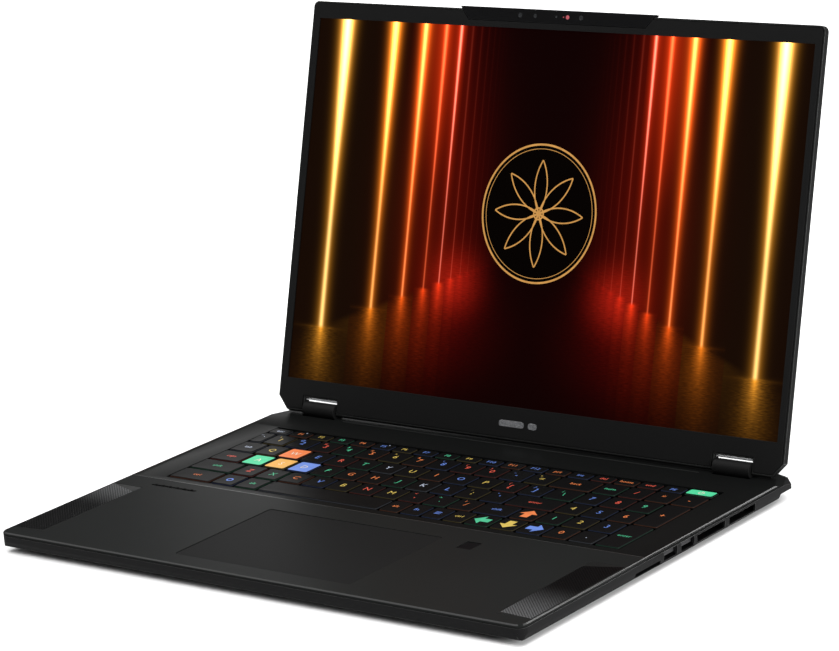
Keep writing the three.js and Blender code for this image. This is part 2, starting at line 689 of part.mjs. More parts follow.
const HUB_R = 11;
const PIN_R = 1.2;
const SPIDER_THICK = 0.8;
const HOUSING_SKIN = 0.7;

function fanHousing() {
  const half = FAN_SIDE / 2;
  const box = plate(
    roundedRectangle(FAN_X - half, FAN_X + half, FAN_Y - half, FAN_Y + half, 8), FAN_LOW, FAN_HIGH, 3);
  const chamberLow = FAN_LOW + HOUSING_SKIN;
  const chamberHigh = FAN_HIGH - HOUSING_SKIN;
  const chamber = cylinderZ(FAN_X, FAN_Y, chamberLow, chamberHigh, FAN_BORE_R, 48);
  const inlet = cylinderZ(FAN_X, FAN_Y, FAN_LOW - 1, FAN_HIGH + 1, FAN_INLET_R, 36);
  const rearOutlet = block(
    FAN_X - half + 6, FAN_X + half - 6, FAN_Y + 20, FAN_Y + half + 1, chamberLow, chamberHigh);
  const sideOutlet = block(FAN_X + 20, FAN_X + half + 1, FAN_Y - 24, FAN_Y + 24, chamberLow, chamberHigh);
  const spokes = [0, 1, 2].map((i) => {
    const spoke = new THREE.BoxGeometry(FAN_INLET_R + 3, 4, SPIDER_THICK);
    spoke.translate((FAN_INLET_R + 3) / 2, 0, 0);
    spoke.rotateZ(i * 2 * Math.PI / 3 + 0.4);
    spoke.translate(FAN_X, FAN_Y, FAN_LOW + SPIDER_THICK / 2);
    return solid(spoke);
  });
  const bearing = cylinderZ(FAN_X, FAN_Y, FAN_LOW, FAN_LOW + SPIDER_THICK, HUB_R - 1, 24);
  const pin = cylinderZ(FAN_X, FAN_Y, FAN_LOW, FAN_HIGH - 2.1, PIN_R, 16);
  return join(cut(box, chamber, inlet, rearOutlet, sideOutlet), ...spokes, bearing, pin);
}

function fanRotor() {
  const low = FAN_LOW + SPIDER_THICK + GAP;
  const high = FAN_HIGH - HOUSING_SKIN - GAP;
  const hub = cylinderZ(FAN_X, FAN_Y, low, high, HUB_R, 32);
  const bladeCount = 17;
  const blades = Array.from({ length: bladeCount }, (_, i) => {
    const length = ROTOR_R - HUB_R + 1;
    const blade = new THREE.BoxGeometry(length, 0.9, high - low - 0.6);
    blade.rotateZ(0.5);
    blade.translate(HUB_R + length / 2 - 2, 4, 0);
    blade.rotateZ(i * 2 * Math.PI / bladeCount);
    blade.translate(FAN_X, FAN_Y, (low + high) / 2);
    return solid(blade);
  });
  const bore = cylinderZ(FAN_X, FAN_Y, low - 1, high - 0.8, PIN_R + 0.08, 16);
  return join(hub, ...blades).subtract(bore);
}

const SINK = { inner: 98, outer: 183, front: 251, rear: 271, low: 3.5, high: 7.5, fins: 22 };

// Upright fins under a top sheet: the comb's outline, run front to back.
function heatsink() {
  const pitch = (SINK.outer - SINK.inner) / SINK.fins;
  const finWidth = pitch * 0.3;
  const sheetLow = SINK.high - 0.8;
  const teeth = Array.from({ length: SINK.fins }, (_, i) => {
    const start = SINK.inner + i * pitch + (pitch - finWidth) / 2;
    return [[start, sheetLow], [start, SINK.low], [start + finWidth, SINK.low], [start + finWidth, sheetLow]];
  }).flat();
  return profileAlongY([
    [SINK.inner, SINK.high], [SINK.inner, sheetLow], ...teeth,
    [SINK.outer, sheetLow], [SINK.outer, SINK.high],
  ], SINK.front, SINK.rear);
}

for (const [word, side] of SIDES) {
  add(base, `fan_housing_${word}`, mirrored(fanHousing(), side), BLACK_PLASTIC);
  add(base, `fan_rotor_${word}`, mirrored(fanRotor(), side), BLACK_PLASTIC);
  add(base, `heatsink_${word}`, mirrored(heatsink(), side), COPPER);
}

// Flattened pipes from plates on the two processors to the heatsinks.
function heatPipes() {
  const low = SINK.high + GAP;
  const high = low + 1.4;
  const crossing = plate(roundedRectangle(-SINK.outer + 2, SINK.outer - 2, 253, 264, 4), low, high, 4);
  const plates = block(-56, 58, 190, 228, low, high);
  const risers = [-46, -28, 26, 48].map((x) =>
    plate(roundedRectangle(x - 4.5, x + 4.5, 220, 262, 3), low, high, 3));
  return join(crossing, plates, ...risers);
}

add(base, 'heat_pipes', heatPipes(), COPPER);

// ---------------------------------------------------------------- hinges

// Barrel fixed to the base, with its foot under the deck and a blind bore for the shaft.
function hingeBarrel() {
  const barrel = cylinderX(BARREL_IN, BARREL_OUT, HINGE_Y, HINGE_Z, BARREL_R, 36);
  const top = DECK_BOTTOM - GAP;
  const web = block(BARREL_IN + 2, BARREL_OUT - 2, HINGE_Y - 3, HINGE_Y + 3, top - 1, HINGE_Z - 3);
  const foot = block(BARREL_IN - 8, BARREL_OUT + 6, HINGE_Y - 18, HINGE_Y + 9, top - 1.3, top);
  const bore = cylinderX(BARREL_IN - 1, BARREL_OUT - 3, HINGE_Y, HINGE_Z, SHAFT_BORE_R);
  return join(barrel, web, foot).subtract(bore);
}

// Shaft in the barrel, and the arm that it turns, which lies in the lid's chin.
function hingeArm() {
  const knuckleIn = 138;
  const knuckleOut = BARREL_IN - NOTCH_CLEAR - 2;
  const shaft = cylinderX(knuckleOut - 1, BARREL_OUT - 4, 0, 0, SHAFT_R);
  const knuckle = cylinderX(knuckleIn, knuckleOut, 0, 0, 1.6);
  const web = block(knuckleIn, knuckleOut, 0, 3, -1.55, 0.9);
  const arm = block(98, knuckleOut, 2.5, 14.4, -1.55, -0.2);
  return join(shaft, knuckle, web, arm);
}

for (const [word, side] of SIDES) {
  add(base, `hinge_barrel_${word}`, mirrored(hingeBarrel(), side), BLACK_PLASTIC);
  add(lid, `hinge_arm_${word}`, mirrored(hingeArm(), side), STEEL);
}

// ---------------------------------------------------------------- lid

const CHIN_END = -LID_HALF_THICK;
const BEZEL_BOTTOM = -0.5;
const BEZEL_FACE = LID_HALF_THICK;
const BEZEL_BACK = BEZEL_FACE - BEZEL_THICK;

// The lid's outline: rounded upper corners, cut lower corners. Everything moves in by inset.
function lidOutline(inset, bottom) {
  const right = HALF - inset;
  const top = HINGE_Y - inset;
  const radius = LID_CORNER_R - Math.min(inset, LID_CORNER_R - 1);
  const cutX = right - CHIN_CUT_X * (CHIN_CUT_TOP - bottom) / (CHIN_CUT_TOP - CHIN_END);
  const shape = new THREE.Shape();
  shape.moveTo(cutX, bottom);
  shape.lineTo(right, CHIN_CUT_TOP);
  shape.absarc(right - radius, top - radius, radius, 0, Math.PI / 2);
  shape.absarc(-right + radius, top - radius, radius, Math.PI / 2, Math.PI);
  shape.lineTo(-right, CHIN_CUT_TOP);
  shape.lineTo(-cutX, bottom);
  return shape;
}

// Side profile of the lid, round at the hinge end: radius about the axis, front and back faces.
function chinProfile(radius, back, front) {
  const shape = new THREE.Shape();
  shape.moveTo(HINGE_Y + 5, back);
  shape.lineTo(HINGE_Y + 5, front);
  const start = Math.PI - Math.asin(Math.min(1, front / radius));
  const end = Math.PI + Math.asin(Math.min(1, -back / radius));
  shape.absarc(0, 0, radius, start, end);
  return profileAlongX(shape, -HALF, HALF);
}

// The hollow behind the bezel: round about the shaft, and open to the front above the chin's lip.
function lidHollow() {
  const radius = 2.0;
  const back = -LID_HALF_THICK + COVER_SKIN;
  const lip = BEZEL_BOTTOM - GAP;
  const shape = new THREE.Shape();
  shape.moveTo(HINGE_Y, back);
  shape.lineTo(HINGE_Y, LID_HALF_THICK + 1);
  shape.lineTo(lip, LID_HALF_THICK + 1);
  shape.absarc(0, 0, radius, Math.acos(lip / radius), Math.PI + Math.asin(-back / radius));
  return plate(lidOutline(COVER_RIM, CHIN_END), -LID_HALF_THICK, LID_HALF_THICK + 1)
    .intersect(profileAlongX(shape, -HALF, HALF));
}

function notchBlock(grow, side) {
  return mirrored(block(
    BARREL_IN - NOTCH_CLEAR - grow, BARREL_OUT + NOTCH_CLEAR + grow,
    -10, NOTCH_TOP + grow, -10, 10,
  ), side);
}

function cameraShape(grow) {
  return polygon([
    [CAMERA_BOTTOM_HALF + grow, CAMERA_BOTTOM - grow], [CAMERA_TOP_HALF + grow, CAMERA_TOP],
    [-CAMERA_TOP_HALF - grow, CAMERA_TOP], [-CAMERA_BOTTOM_HALF - grow, CAMERA_BOTTOM - grow],
  ]);
}

const CAMERA_BACK = -1.5;

function lidBackCover() {
  const rimFront = LID_HALF_THICK - 0.4;
  const body = bevelledPlate(lidOutline(0, CHIN_END), -LID_HALF_THICK, LID_HALF_THICK + 4, LID_BEVEL)
    .intersect(chinProfile(LID_HALF_THICK, -LID_HALF_THICK, rimFront));
  const notchWall = 1;
  const hollow = cut(lidHollow(), ...SIDES.map(([, side]) => notchBlock(notchWall, side)));
  const notches = SIDES.map(([, side]) => notchBlock(0, side));
  const shaftHoles = SIDES.map(([, side]) => mirrored(
    cylinderX(BARREL_IN - 5, BARREL_IN + 5, 0, 0, SHAFT_R + GAP), side));
  const cameraSeat = plate(cameraShape(GAP), CAMERA_BACK - GAP, LID_HALF_THICK + 1);
  return cut(body, hollow, ...notches, ...shaftHoles, cameraSeat);
}

add(lid, 'lid_back_cover', lidBackCover(), BLACK_METAL);

function lidBezel() {
  const frame = plate(lidOutline(COVER_RIM + GAP, BEZEL_BOTTOM), BEZEL_BACK, BEZEL_FACE);
  const window = block(
    -SCREEN_WIDTH / 2, SCREEN_WIDTH / 2, SCREEN_BOTTOM, SCREEN_BOTTOM + SCREEN_HEIGHT, -5, 5);
  const notches = SIDES.map(([, side]) => notchBlock(1 + GAP, side));
  return cut(frame, window, ...notches, plate(cameraShape(GAP), -5, 5));
}

add(lid, 'lid_bezel', lidBezel(), BLACK_PLASTIC);

const PANEL_FRONT = BEZEL_BACK - GAP;
add(lid, 'display_panel', block(
  -SCREEN_WIDTH / 2 - 2, SCREEN_WIDTH / 2 + 2,
  SCREEN_BOTTOM - 3.5, SCREEN_BOTTOM + SCREEN_HEIGHT + 2.5, -0.9, PANEL_FRONT,
), SCREEN_GLASS);

add(lid, 'camera_module', plate(cameraShape(0), CAMERA_BACK, BEZEL_FACE), GLOSS_BLACK);

add(lid, 'panel_driver_board', block(-84, 84, 3, 14.4, -1.5, -0.4), BOARD_GREEN);

function displayCable() {
  const along = block(60, 132, 5, 11, 0.2, 0.7);
  const down = block(122, 132, -1, 8, 0.2, 0.7);
  return join(along, down);
}

add(lid, 'display_cable', displayCable(), BLACK_PLASTIC);

export default laptop;
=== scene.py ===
"""The look of the laptop computer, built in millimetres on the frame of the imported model."""

import json
import math
from collections import namedtuple

import bmesh
import bpy
from mathutils import Matrix, Vector

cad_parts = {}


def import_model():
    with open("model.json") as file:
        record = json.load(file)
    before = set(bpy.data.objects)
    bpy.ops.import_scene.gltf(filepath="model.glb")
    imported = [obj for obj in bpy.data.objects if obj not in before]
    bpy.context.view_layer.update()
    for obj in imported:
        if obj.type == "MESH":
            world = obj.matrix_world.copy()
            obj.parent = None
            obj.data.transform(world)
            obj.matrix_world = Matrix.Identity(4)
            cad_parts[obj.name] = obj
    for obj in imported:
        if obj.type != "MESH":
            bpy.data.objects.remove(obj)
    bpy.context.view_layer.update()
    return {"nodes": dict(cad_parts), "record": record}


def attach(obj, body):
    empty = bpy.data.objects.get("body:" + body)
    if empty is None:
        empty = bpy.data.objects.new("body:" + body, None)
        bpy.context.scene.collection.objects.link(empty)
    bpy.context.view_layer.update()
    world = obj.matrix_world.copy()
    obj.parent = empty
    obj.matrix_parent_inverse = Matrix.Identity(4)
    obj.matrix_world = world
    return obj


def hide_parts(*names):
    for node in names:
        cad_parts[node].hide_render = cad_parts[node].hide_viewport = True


MM = 0.001
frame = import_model()
behaviour = frame["record"]["behaviour"]
BODY_OF = {node: body for body, nodes in behaviour["bodies"].items() for node in nodes}
SIDES = {"left": -1, "right": 1}

# -------- places taken from the frame

hinge = next(joint for joint in behaviour["joints"] if joint["name"] == "display_hinge")
OPEN_ANGLE = math.radians(-hinge["range_deg"][0])
BASE = Matrix.Scale(MM, 4)
LID = (
    Matrix.Translation(hinge["pos_m"])
    @ Matrix.Rotation(math.pi - OPEN_ANGLE, 4, "X")
    @ Matrix.Scale(MM, 4)
)


def span(node, place=BASE):
    """Lowest and highest corner of a CAD node in millimetres, in the base's or the lid's own frame."""
    back = place.inverted()
    points = [back @ vertex.co for vertex in frame["nodes"][node].data.vertices]
    low = Vector(min(point[i] for point in points) for i in range(3))
    high = Vector(max(point[i] for point in points) for i in range(3))
    return low, high


deck_low, deck_high = span("palm_rest_deck")
cover_low, cover_high = span("bottom_cover")
bezel_low, bezel_high = span("lid_bezel", LID)
panel_low, panel_high = span("display_panel", LID)

# -------- materials


def new_material(name, **values):
    """A material, its node tree and its shader, with plain values set on the shader's own sockets."""
    material = bpy.data.materials.new(name)
    material.use_nodes = True
    tree = material.node_tree
    shader = tree.nodes["Principled BSDF"]
    for key, value in values.items():
        socket = shader.inputs[key.replace("_", " ")]
        socket.default_value = (*value, 1) if isinstance(value, tuple) else value
    return material, tree, shader


def put(tree, socket, value):
    if isinstance(value, bpy.types.NodeSocket):
        tree.links.new(value, socket)
    else:
        socket.default_value = value


def node_of(tree, kind, inputs, **settings):
    """A shader node with its settings, and a value or a link in each named or numbered input."""
    made = tree.nodes.new(f"ShaderNode{kind}")
    for name, value in settings.items():
        setattr(made, name, value)
    for name, value in inputs.items():
        put(tree, made.inputs[name], value)
    return made


def calc(tree, operation, *values):
    """A Math node's result."""
    return node_of(tree, "Math", dict(enumerate(values)), operation=operation).outputs[0]


def coordinates(tree, kind="Object"):
    return tree.nodes.new("ShaderNodeTexCoord").outputs[kind]


def axes(tree, kind="Object"):
    """The x, y and z of a texture coordinate."""
    return node_of(tree, "SeparateXYZ", {0: coordinates(tree, kind)}).outputs


def noise(tree, scale, detail=2.0, stretch=(1, 1, 1), kind="Object"):
    mapping = node_of(tree, "Mapping", {"Scale": stretch, "Vector": coordinates(tree, kind)})
    place = mapping.outputs["Vector"]
    return node_of(tree, "TexNoise", {"Scale": scale, "Detail": detail, "Vector": place}).outputs["Fac"]


def between(tree, factor, low, high):
    """A number that goes from low to high as factor goes from 0 to 1."""
    return node_of(tree, "MapRange", {"Value": factor, "To Min": low, "To Max": high}).outputs["Result"]


def smooth_step(tree, value, low, high):
    """A number that goes smoothly from 0 to 1 as value goes from low to high."""
    made = node_of(tree, "MapRange", {"Value": value, "From Min": low, "From Max": high},
                   interpolation_type="SMOOTHSTEP")
    return made.outputs["Result"]


def mixed(tree, factor, low, high, blend="MIX"):
    low, high = ((*value, 1) if isinstance(value, tuple) else value for value in (low, high))
    made = node_of(tree, "Mix", {"Factor": factor, "A": low, "B": high}, data_type="RGBA", blend_type=blend)
    return made.outputs["Result"]


def bumped(tree, shader, height, distance):
    bump = node_of(tree, "Bump", {"Distance": distance * MM, "Height": height})
    tree.links.new(bump.outputs["Normal"], shader.inputs["Normal"])


GRAIN_DETAIL = 3.0
GRAIN_GLOSS = 0.05
WEAR_SCALE = 9
WEAR_DETAIL = 4.0
WEAR_GLOSS = 0.06


def grained(name, color, roughness, grain_mm, depth_mm, stretch=(1, 1, 1), vary=0.25, tone=None,
            **values):
    """A surface with fine grain in its height, colour and gloss, and broad soft patches of wear."""
    material, tree, shader = new_material(name, **values)
    grain = noise(tree, 1 / (grain_mm * MM), GRAIN_DETAIL, stretch)
    patches = noise(tree, WEAR_SCALE, WEAR_DETAIL)
    dark = tuple(channel * (1 - vary) for channel in color)
    light = tuple(min(1.0, channel * (1 + vary)) for channel in color)
    blend = calc(tree, "MULTIPLY_ADD", patches, 0.5, calc(tree, "MULTIPLY", grain, 0.5))
    shade = mixed(tree, blend, dark, light)
    tree.links.new(tone(tree, shade) if tone else shade, shader.inputs["Base Color"])
    worn = between(tree, patches, -WEAR_GLOSS, WEAR_GLOSS)
    rough = between(tree, grain, -GRAIN_GLOSS, GRAIN_GLOSS)
    gloss = calc(tree, "ADD", calc(tree, "ADD", worn, rough), roughness)
    tree.links.new(gloss, shader.inputs["Roughness"])
    bumped(tree, shader, grain, depth_mm)
    return material


# The deck lies 0.6 mm lower round the keyboard, from side to side
LOW_FRONT_Y = deck_low.y + 122.4
LOW_REAR_Y = deck_low.y + 244.6
# Painted shade: how softly it starts, and how much darker the coat is painted behind the keyboard's front
# line
PAINTED_SHADE_BLEND = 0.2
REAR_PAINTED_SHADE = (0.5, 0.5, 0.5)


def deck_painted_shade(tree, shade):
    """Painted shade: the coat is painted darker from the keyboard's front line to the rear than on the palm
    rest.
    """
    start, end = (LOW_FRONT_Y - PAINTED_SHADE_BLEND) * MM, (LOW_FRONT_Y + PAINTED_SHADE_BLEND) * MM
    painted_shade_mask = smooth_step(tree, axes(tree)[1], start, end)
    return mixed(tree, painted_shade_mask, shade, mixed(tree, 1.0, shade, REAR_PAINTED_SHADE, "MULTIPLY"))


def coat(name, color, roughness, grain_mm, depth_mm, specular, **values):
    """Coated metal, plastic or film with a low gloss."""
    return grained(name, color, roughness, grain_mm, depth_mm, Specular_IOR_Level=specular, **values)


CASING = coat("coated_metal", (0.0085, 0.0087, 0.0085), 0.42, 0.35, 0.01, 0.012)
# The deck's coat, with painted shade from the keyboard's front line to the rear
DECK = coat("deck_coat_painted_shade", (0.0082, 0.0087, 0.0085), 0.42, 0.35, 0.01, 0.012, tone=deck_painted_shade)
# A lighter, glossier copy of the coat for bevels, rims and ridges: real gloss, with a painted highlight in
# its lighter colour
EDGE = coat("coated_edge_painted_highlight", (0.010, 0.0104, 0.010), 0.32, 0.35, 0.005, 0.28)
# The lower shell: the same coat, painted darker for the shade on its side walls
UNDER_CASING = coat("coated_underside_painted_shade", (0.006, 0.006, 0.0062), 0.45, 0.6, 0.02, 0.035)
BEZEL = coat("bezel_plastic", (0.0055, 0.0055, 0.0055), 0.5, 0.25, 0.008, 0.055)
TOUCH = coat("touchpad_film", (0.0084, 0.0085, 0.0085), 0.45, 0.2, 0.003, 0.006)
KEY = coat("key_plastic", (0.0036, 0.0036, 0.0037), 0.42, 0.18, 0.006, 0.013)
# The black key tray, painted darker than the caps for the shade in the gaps between keys
WELL = coat("key_well_and_painted_shade", (0.0022, 0.0022, 0.0024), 0.7, 0.5, 0.02, 0.03)
GLOSS = coat("gloss_black", (0.004, 0.004, 0.0042), 0.25, 0.8, 0.001, 0.08)
SLOT = coat("slot_black", (0.0011, 0.0011, 0.0011), 0.6, 0.5, 0.0005, 0.004)
READER = coat("reader_film", (0.004, 0.004, 0.0043), 0.35, 0.2, 0.001, 0.006)
RUBBER = coat("foot_rubber", (0.010, 0.010, 0.010), 0.8, 0.5, 0.05, 0.3)
PLASTIC = coat("inner_plastic", (0.013, 0.013, 0.014), 0.6, 0.5, 0.02, 0.35)
WINDOW = grained("sensor_window", (0.012, 0.013, 0.014), 0.25, 0.2, 0.001)
BATTERY = grained("battery_wrap", (0.035, 0.036, 0.04), 0.5, 1.5, 0.03)
ALONG_X = (0.08, 1, 1)
STEEL = grained("brushed_steel", (0.55, 0.56, 0.58), 0.3, 0.3, 0.004, ALONG_X, Metallic=1.0)
SHELL = grained("socket_shell", (0.035, 0.035, 0.037), 0.4, 0.3, 0.004, ALONG_X, Metallic=1.0)
GOLD = grained("contact_gold", (0.78, 0.52, 0.2), 0.25, 0.3, 0.002, Metallic=1.0)
COPPER = grained("heat_pipe_copper", (0.62, 0.26, 0.13), 0.32, 0.4, 0.004, (1, 0.1, 1), Metallic=1.0)
SILVER = grained("emblem_silver", (0.6, 0.61, 0.63), 0.24, 0.2, 0.002, vary=0.08, Metallic=1.0)

BOARD_LOOK = {
    "Scale": 160, "Mortar Size": 0.06, "Color1": (0.008, 0.05, 0.02, 1), "Color2": (0.012, 0.065, 0.027, 1),
    "Mortar": (0.03, 0.13, 0.05, 1),
}
BOARD_DIRT = (0.01, 0.03, 0.015)
BOARD_DIRT_SCALE = 400
BOARD_DIRT_SHARE = 0.5
TRACK_HEIGHT = 0.04


def board_material():
    """Green board with paler copper tracks under the lacquer."""
    material, tree, shader = new_material("circuit_board", Roughness=0.45)
    brick = node_of(tree, "TexBrick", {"Vector": coordinates(tree), **BOARD_LOOK})
    dirt = between(tree, noise(tree, BOARD_DIRT_SCALE, GRAIN_DETAIL), 0, BOARD_DIRT_SHARE)
    tree.links.new(mixed(tree, dirt, brick.outputs["Color"], BOARD_DIRT), shader.inputs["Base Color"])
    bumped(tree, shader, brick.outputs["Fac"], TRACK_HEIGHT)
    return material


BOARD = board_material()

SPEAKER_PITCH = 1.5
HOLE_EDGE = (0.18, 0.32)
HOLE_DEPTH = 0.35
HOLE_BLACK = (0.0012, 0.0012, 0.0014)
# Painted shade and painted highlight: the sheet's colour where its painted sheen is dull and where it is
# bright
SHEET_PAINTED_SHADE = (0.0022, 0.0022, 0.0023)
SHEET_PAINTED_HIGHLIGHT = (0.055, 0.056, 0.057)
HOLE_ROUGHNESS = 0.8
SHEET_ROUGHNESS = 0.36
SHEET_GRAIN_SCALE = 3000
SHEET_GRAIN_GLOSS = 0.04


def grille_material(name, painted_shade_y, painted_highlight_y):
    """A square grid of small round holes, turned by 45 degrees, on a sheet with a painted sheen: painted
    shade at one y, painted highlight at the other.
    """
    material, tree, shader = new_material(name, Specular_IOR_Level=0.02)
    painted_sheen = smooth_step(tree, axes(tree)[1], painted_shade_y * MM, painted_highlight_y * MM)
    sheet = mixed(tree, painted_sheen, SHEET_PAINTED_SHADE, SHEET_PAINTED_HIGHLIGHT)
    mapping = node_of(tree, "Mapping", {
        "Vector": coordinates(tree), "Rotation": (0, 0, math.radians(45)), "Scale": (1, 1, 0),
    })
    grid = node_of(tree, "TexVoronoi", {
        "Vector": mapping.outputs["Vector"], "Randomness": 0, "Scale": 1 / (SPEAKER_PITCH * MM),
    })
    metal = smooth_step(tree, grid.outputs["Distance"], *HOLE_EDGE)
    tree.links.new(mixed(tree, metal, HOLE_BLACK, sheet), shader.inputs["Base Color"])
    grain = between(tree, noise(tree, SHEET_GRAIN_SCALE), -SHEET_GRAIN_GLOSS, SHEET_GRAIN_GLOSS)
    gloss = calc(tree, "ADD", between(tree, metal, HOLE_ROUGHNESS, SHEET_ROUGHNESS), grain)
    tree.links.new(gloss, shader.inputs["Roughness"])
    bumped(tree, shader, metal, HOLE_DEPTH)
    return material


# Painted sheen: where each grille is painted dull and where it is painted bright, from the deck's front
# edge
GRILLE_PAINTED_SHEEN = {"left": (62, 100), "right": (64, 12)}
GRILLES = {word: grille_material(f"speaker_grille_{word}", deck_low.y + dull, deck_low.y + bright)
           for word, (dull, bright) in GRILLE_PAINTED_SHEEN.items()}

CLOUD_SCALE = 260
CLOUD_SHARE = 0.3
FINE_SCALE = 2400
FINE_SHARE = 0.16
FINE_DEPTH = 0.004
LEAST_GLOW = 0.77
DIM_SHARE = 0.8
DARK_BODY = (0.006, 0.006, 0.006)


def lit(name, color, strength, body_color=(0.02, 0.02, 0.02), roughness=0.45):
    """Translucent plastic with a lamp behind it, a little uneven."""
    material, tree, shader = new_material(
        name, Base_Color=body_color, Roughness=roughness, Specular_IOR_Level=0.04)
    cloud = noise(tree, CLOUD_SCALE)
    fine = noise(tree, FINE_SCALE)
    uneven = calc(tree, "MULTIPLY_ADD", fine, FINE_SHARE, LEAST_GLOW)
    shade = calc(tree, "MULTIPLY_ADD", cloud, CLOUD_SHARE, uneven)
    dim = tuple(channel * DIM_SHARE for channel in color)
    tree.links.new(mixed(tree, cloud, dim, color), shader.inputs["Emission Color"])
    tree.links.new(calc(tree, "MULTIPLY", shade, strength), shader.inputs["Emission Strength"])
    bumped(tree, shader, fine, FINE_DEPTH)
    return material


LIGHTS = {
    "o": (1.0, 0.27, 0.08),
    "r": (0.95, 0.13, 0.08),
    "y": (0.85, 0.62, 0.13),
    "g": (0.09, 0.64, 0.34),
    "b": (0.17, 0.31, 0.88),
    "w": (0.60, 0.66, 0.82),
}
LEGEND = {letter: lit(f"legend_{letter}", color, 0.95, DARK_BODY)
          for letter, color in LIGHTS.items()}
SKIRT = {letter: lit(f"key_skirt_{letter}", color, 0.035, DARK_BODY)
         for letter, color in LIGHTS.items()}
LIT_CAPS = {
    "o": lit("cap_orange", (0.90, 0.20, 0.055), 0.6, (0.25, 0.08, 0.03)),
    "g": lit("cap_green", (0.075, 0.66, 0.33), 0.62, (0.03, 0.2, 0.1)),
    "y": lit("cap_amber", (0.86, 0.42, 0.07), 0.6, (0.25, 0.14, 0.04)),
    "b": lit("cap_blue", (0.16, 0.27, 0.66), 0.66, (0.05, 0.08, 0.22)),
}
CAP_LETTER = lit("cap_letter", (0.95, 0.85, 0.7), 0.9)
CAMERA_GLOW = lit("camera_glow", (0.62, 0.10, 0.13), 0.85)

# -------- shapes

SMOOTH_ANGLE = 35
RIM_ANGLE = 15
CAP_ANGLE = 50
BEVEL_ANGLE = 25
WELD = 0.002
FLAT_ANGLE = 0.5


def added(name, data):
    """A new object, linked into the scene."""
    made = bpy.data.objects.new(name, data)
    bpy.context.scene.collection.objects.link(made)
    return made


def mesh_from(name, shape, materials, place=BASE):
    """A mesh from a bmesh in millimetres, put in its place."""
    mesh = bpy.data.meshes.new(name)
    shape.to_mesh(mesh)
    shape.free()
    mesh.transform(place)
    for material in materials:
        mesh.materials.append(material)
    return mesh


def piece(name, shape, materials, body, place=BASE, smooth_angle=SMOOTH_ANGLE):
    """A smooth-shaded object tied to a body."""
    bmesh.ops.recalc_face_normals(shape, faces=shape.faces)
    mesh = mesh_from(name, shape, materials, place)
    mesh.shade_smooth()
    mesh.set_sharp_from_angle(angle=math.radians(smooth_angle))
    made = added(name, mesh)
    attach(made, body)
    return made


def soften(thing, width, segments, slot):
    """Rounds the sharp edges, in the material of a slot; -1 keeps the faces' own."""
    bevel = thing.modifiers.new("edges", "BEVEL")
    bevel.material = slot
    bevel.width = width * MM
    bevel.segments = segments
    bevel.limit_method = "ANGLE"
    bevel.angle_limit = math.radians(BEVEL_ANGLE)
    bevel.use_clamp_overlap = False
    bevel.harden_normals = True


def refined(node, materials, width, segments=2, rim=None):
    """A copy of a CAD node with softened edges, which stands for it.

    The rounding takes the last material. With rim, only the faces for which rim(face) is true do.
    """
    shape = bmesh.new()
    shape.from_mesh(frame["nodes"][node].data)
    bmesh.ops.remove_doubles(shape, verts=shape.verts, dist=WELD * MM)
    bmesh.ops.dissolve_limit(shape, angle_limit=math.radians(FLAT_ANGLE), verts=shape.verts,
                             edges=shape.edges)
    shape.transform(BASE.inverted())
    for face in shape.faces:
        if rim and rim(face):
            face.material_index = len(materials) - 1
    smooth_angle = RIM_ANGLE if rim else SMOOTH_ANGLE
    made = piece(f"{node}_look", shape, materials, BODY_OF[node], smooth_angle=smooth_angle)
    soften(made, width, segments, -1 if rim else len(materials) - 1)
    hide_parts(node)


# CAD nodes that keep their shape. Most show only through the vents and the open sockets.
DRESSED = {
    SHELL: "usb_a_port_front usb_a_port_rear hdmi_port usb_c_port card_reader",
    PLASTIC: "power_inlet audio_jack fan_housing_left fan_housing_right fan_rotor_left fan_rotor_right "
             "speaker_left speaker_right display_cable",
    BOARD: "mainboard memory_module_lower memory_module_upper ssd_module wifi_card panel_driver_board",
    COPPER: "heat_pipes heatsink_left heatsink_right",
    STEEL: "hinge_arm_left hinge_arm_right",
    GLOSS: "display_panel",
    WELL: "keyboard_backplate",
    BATTERY: "battery_pack",
}


def dress_nodes():
    for material, nodes in DRESSED.items():
        for node in nodes.split():
            mesh = frame["nodes"][node].data
            mesh.materials.clear()
            mesh.materials.append(material)


dress_nodes()


CORNER_STEPS = 4
ROUND_STEPS = 24


def rounded_ring(x0, x1, y0, y1, z, radius):
    """Corner points of a rounded rectangle, counter-clockwise."""
    centres = ((x1 - radius, y0 + radius), (x1 - radius, y1 - radius),
               (x0 + radius, y1 - radius), (x0 + radius, y0 + radius))
    ring = []
    for quarter, (x, y) in enumerate(centres):
        for step in range(CORNER_STEPS + 1):
            angle = (quarter - 1 + step / CORNER_STEPS) * math.pi / 2
            ring.append(Vector((x + radius * math.cos(angle), y + radius * math.sin(angle), z)))
    return ring


def round_ring(x, y, z, radius, steps=ROUND_STEPS, lobes=0, depth=0.0):
    """Points of a circle, or of a star with soft lobes."""
    ring = []
    for step in range(steps):
        angle = 2 * math.pi * step / steps
        reach = radius * (1 + depth * math.cos(lobes * angle))
        ring.append(Vector((x + reach * math.cos(angle), y + reach * math.sin(angle), z)))
    return ring


def loft(shape, rings, bands=None):
    """Skins a stack of rings and closes both ends. bands gives each band its own material."""
    bands = bands or [0] * (len(rings) - 1)
    loops = [[shape.verts.new(point) for point in ring] for ring in rings]
    shape.faces.new(list(reversed(loops[0]))).material_index = bands[0]
    shape.faces.new(loops[-1]).material_index = bands[-1]
    for low, high, look in zip(loops, loops[1:], bands):
        for i in range(len(low)):
            j = (i + 1) % len(low)
            shape.faces.new((low[i], low[j], high[j], high[i])).material_index = look


BAR_SHOULDER = 0.3
BAR_PROFILE = ((0, 1, 1), (BAR_SHOULDER, BAR_SHOULDER, 0.9), (1, 0, 0.7))


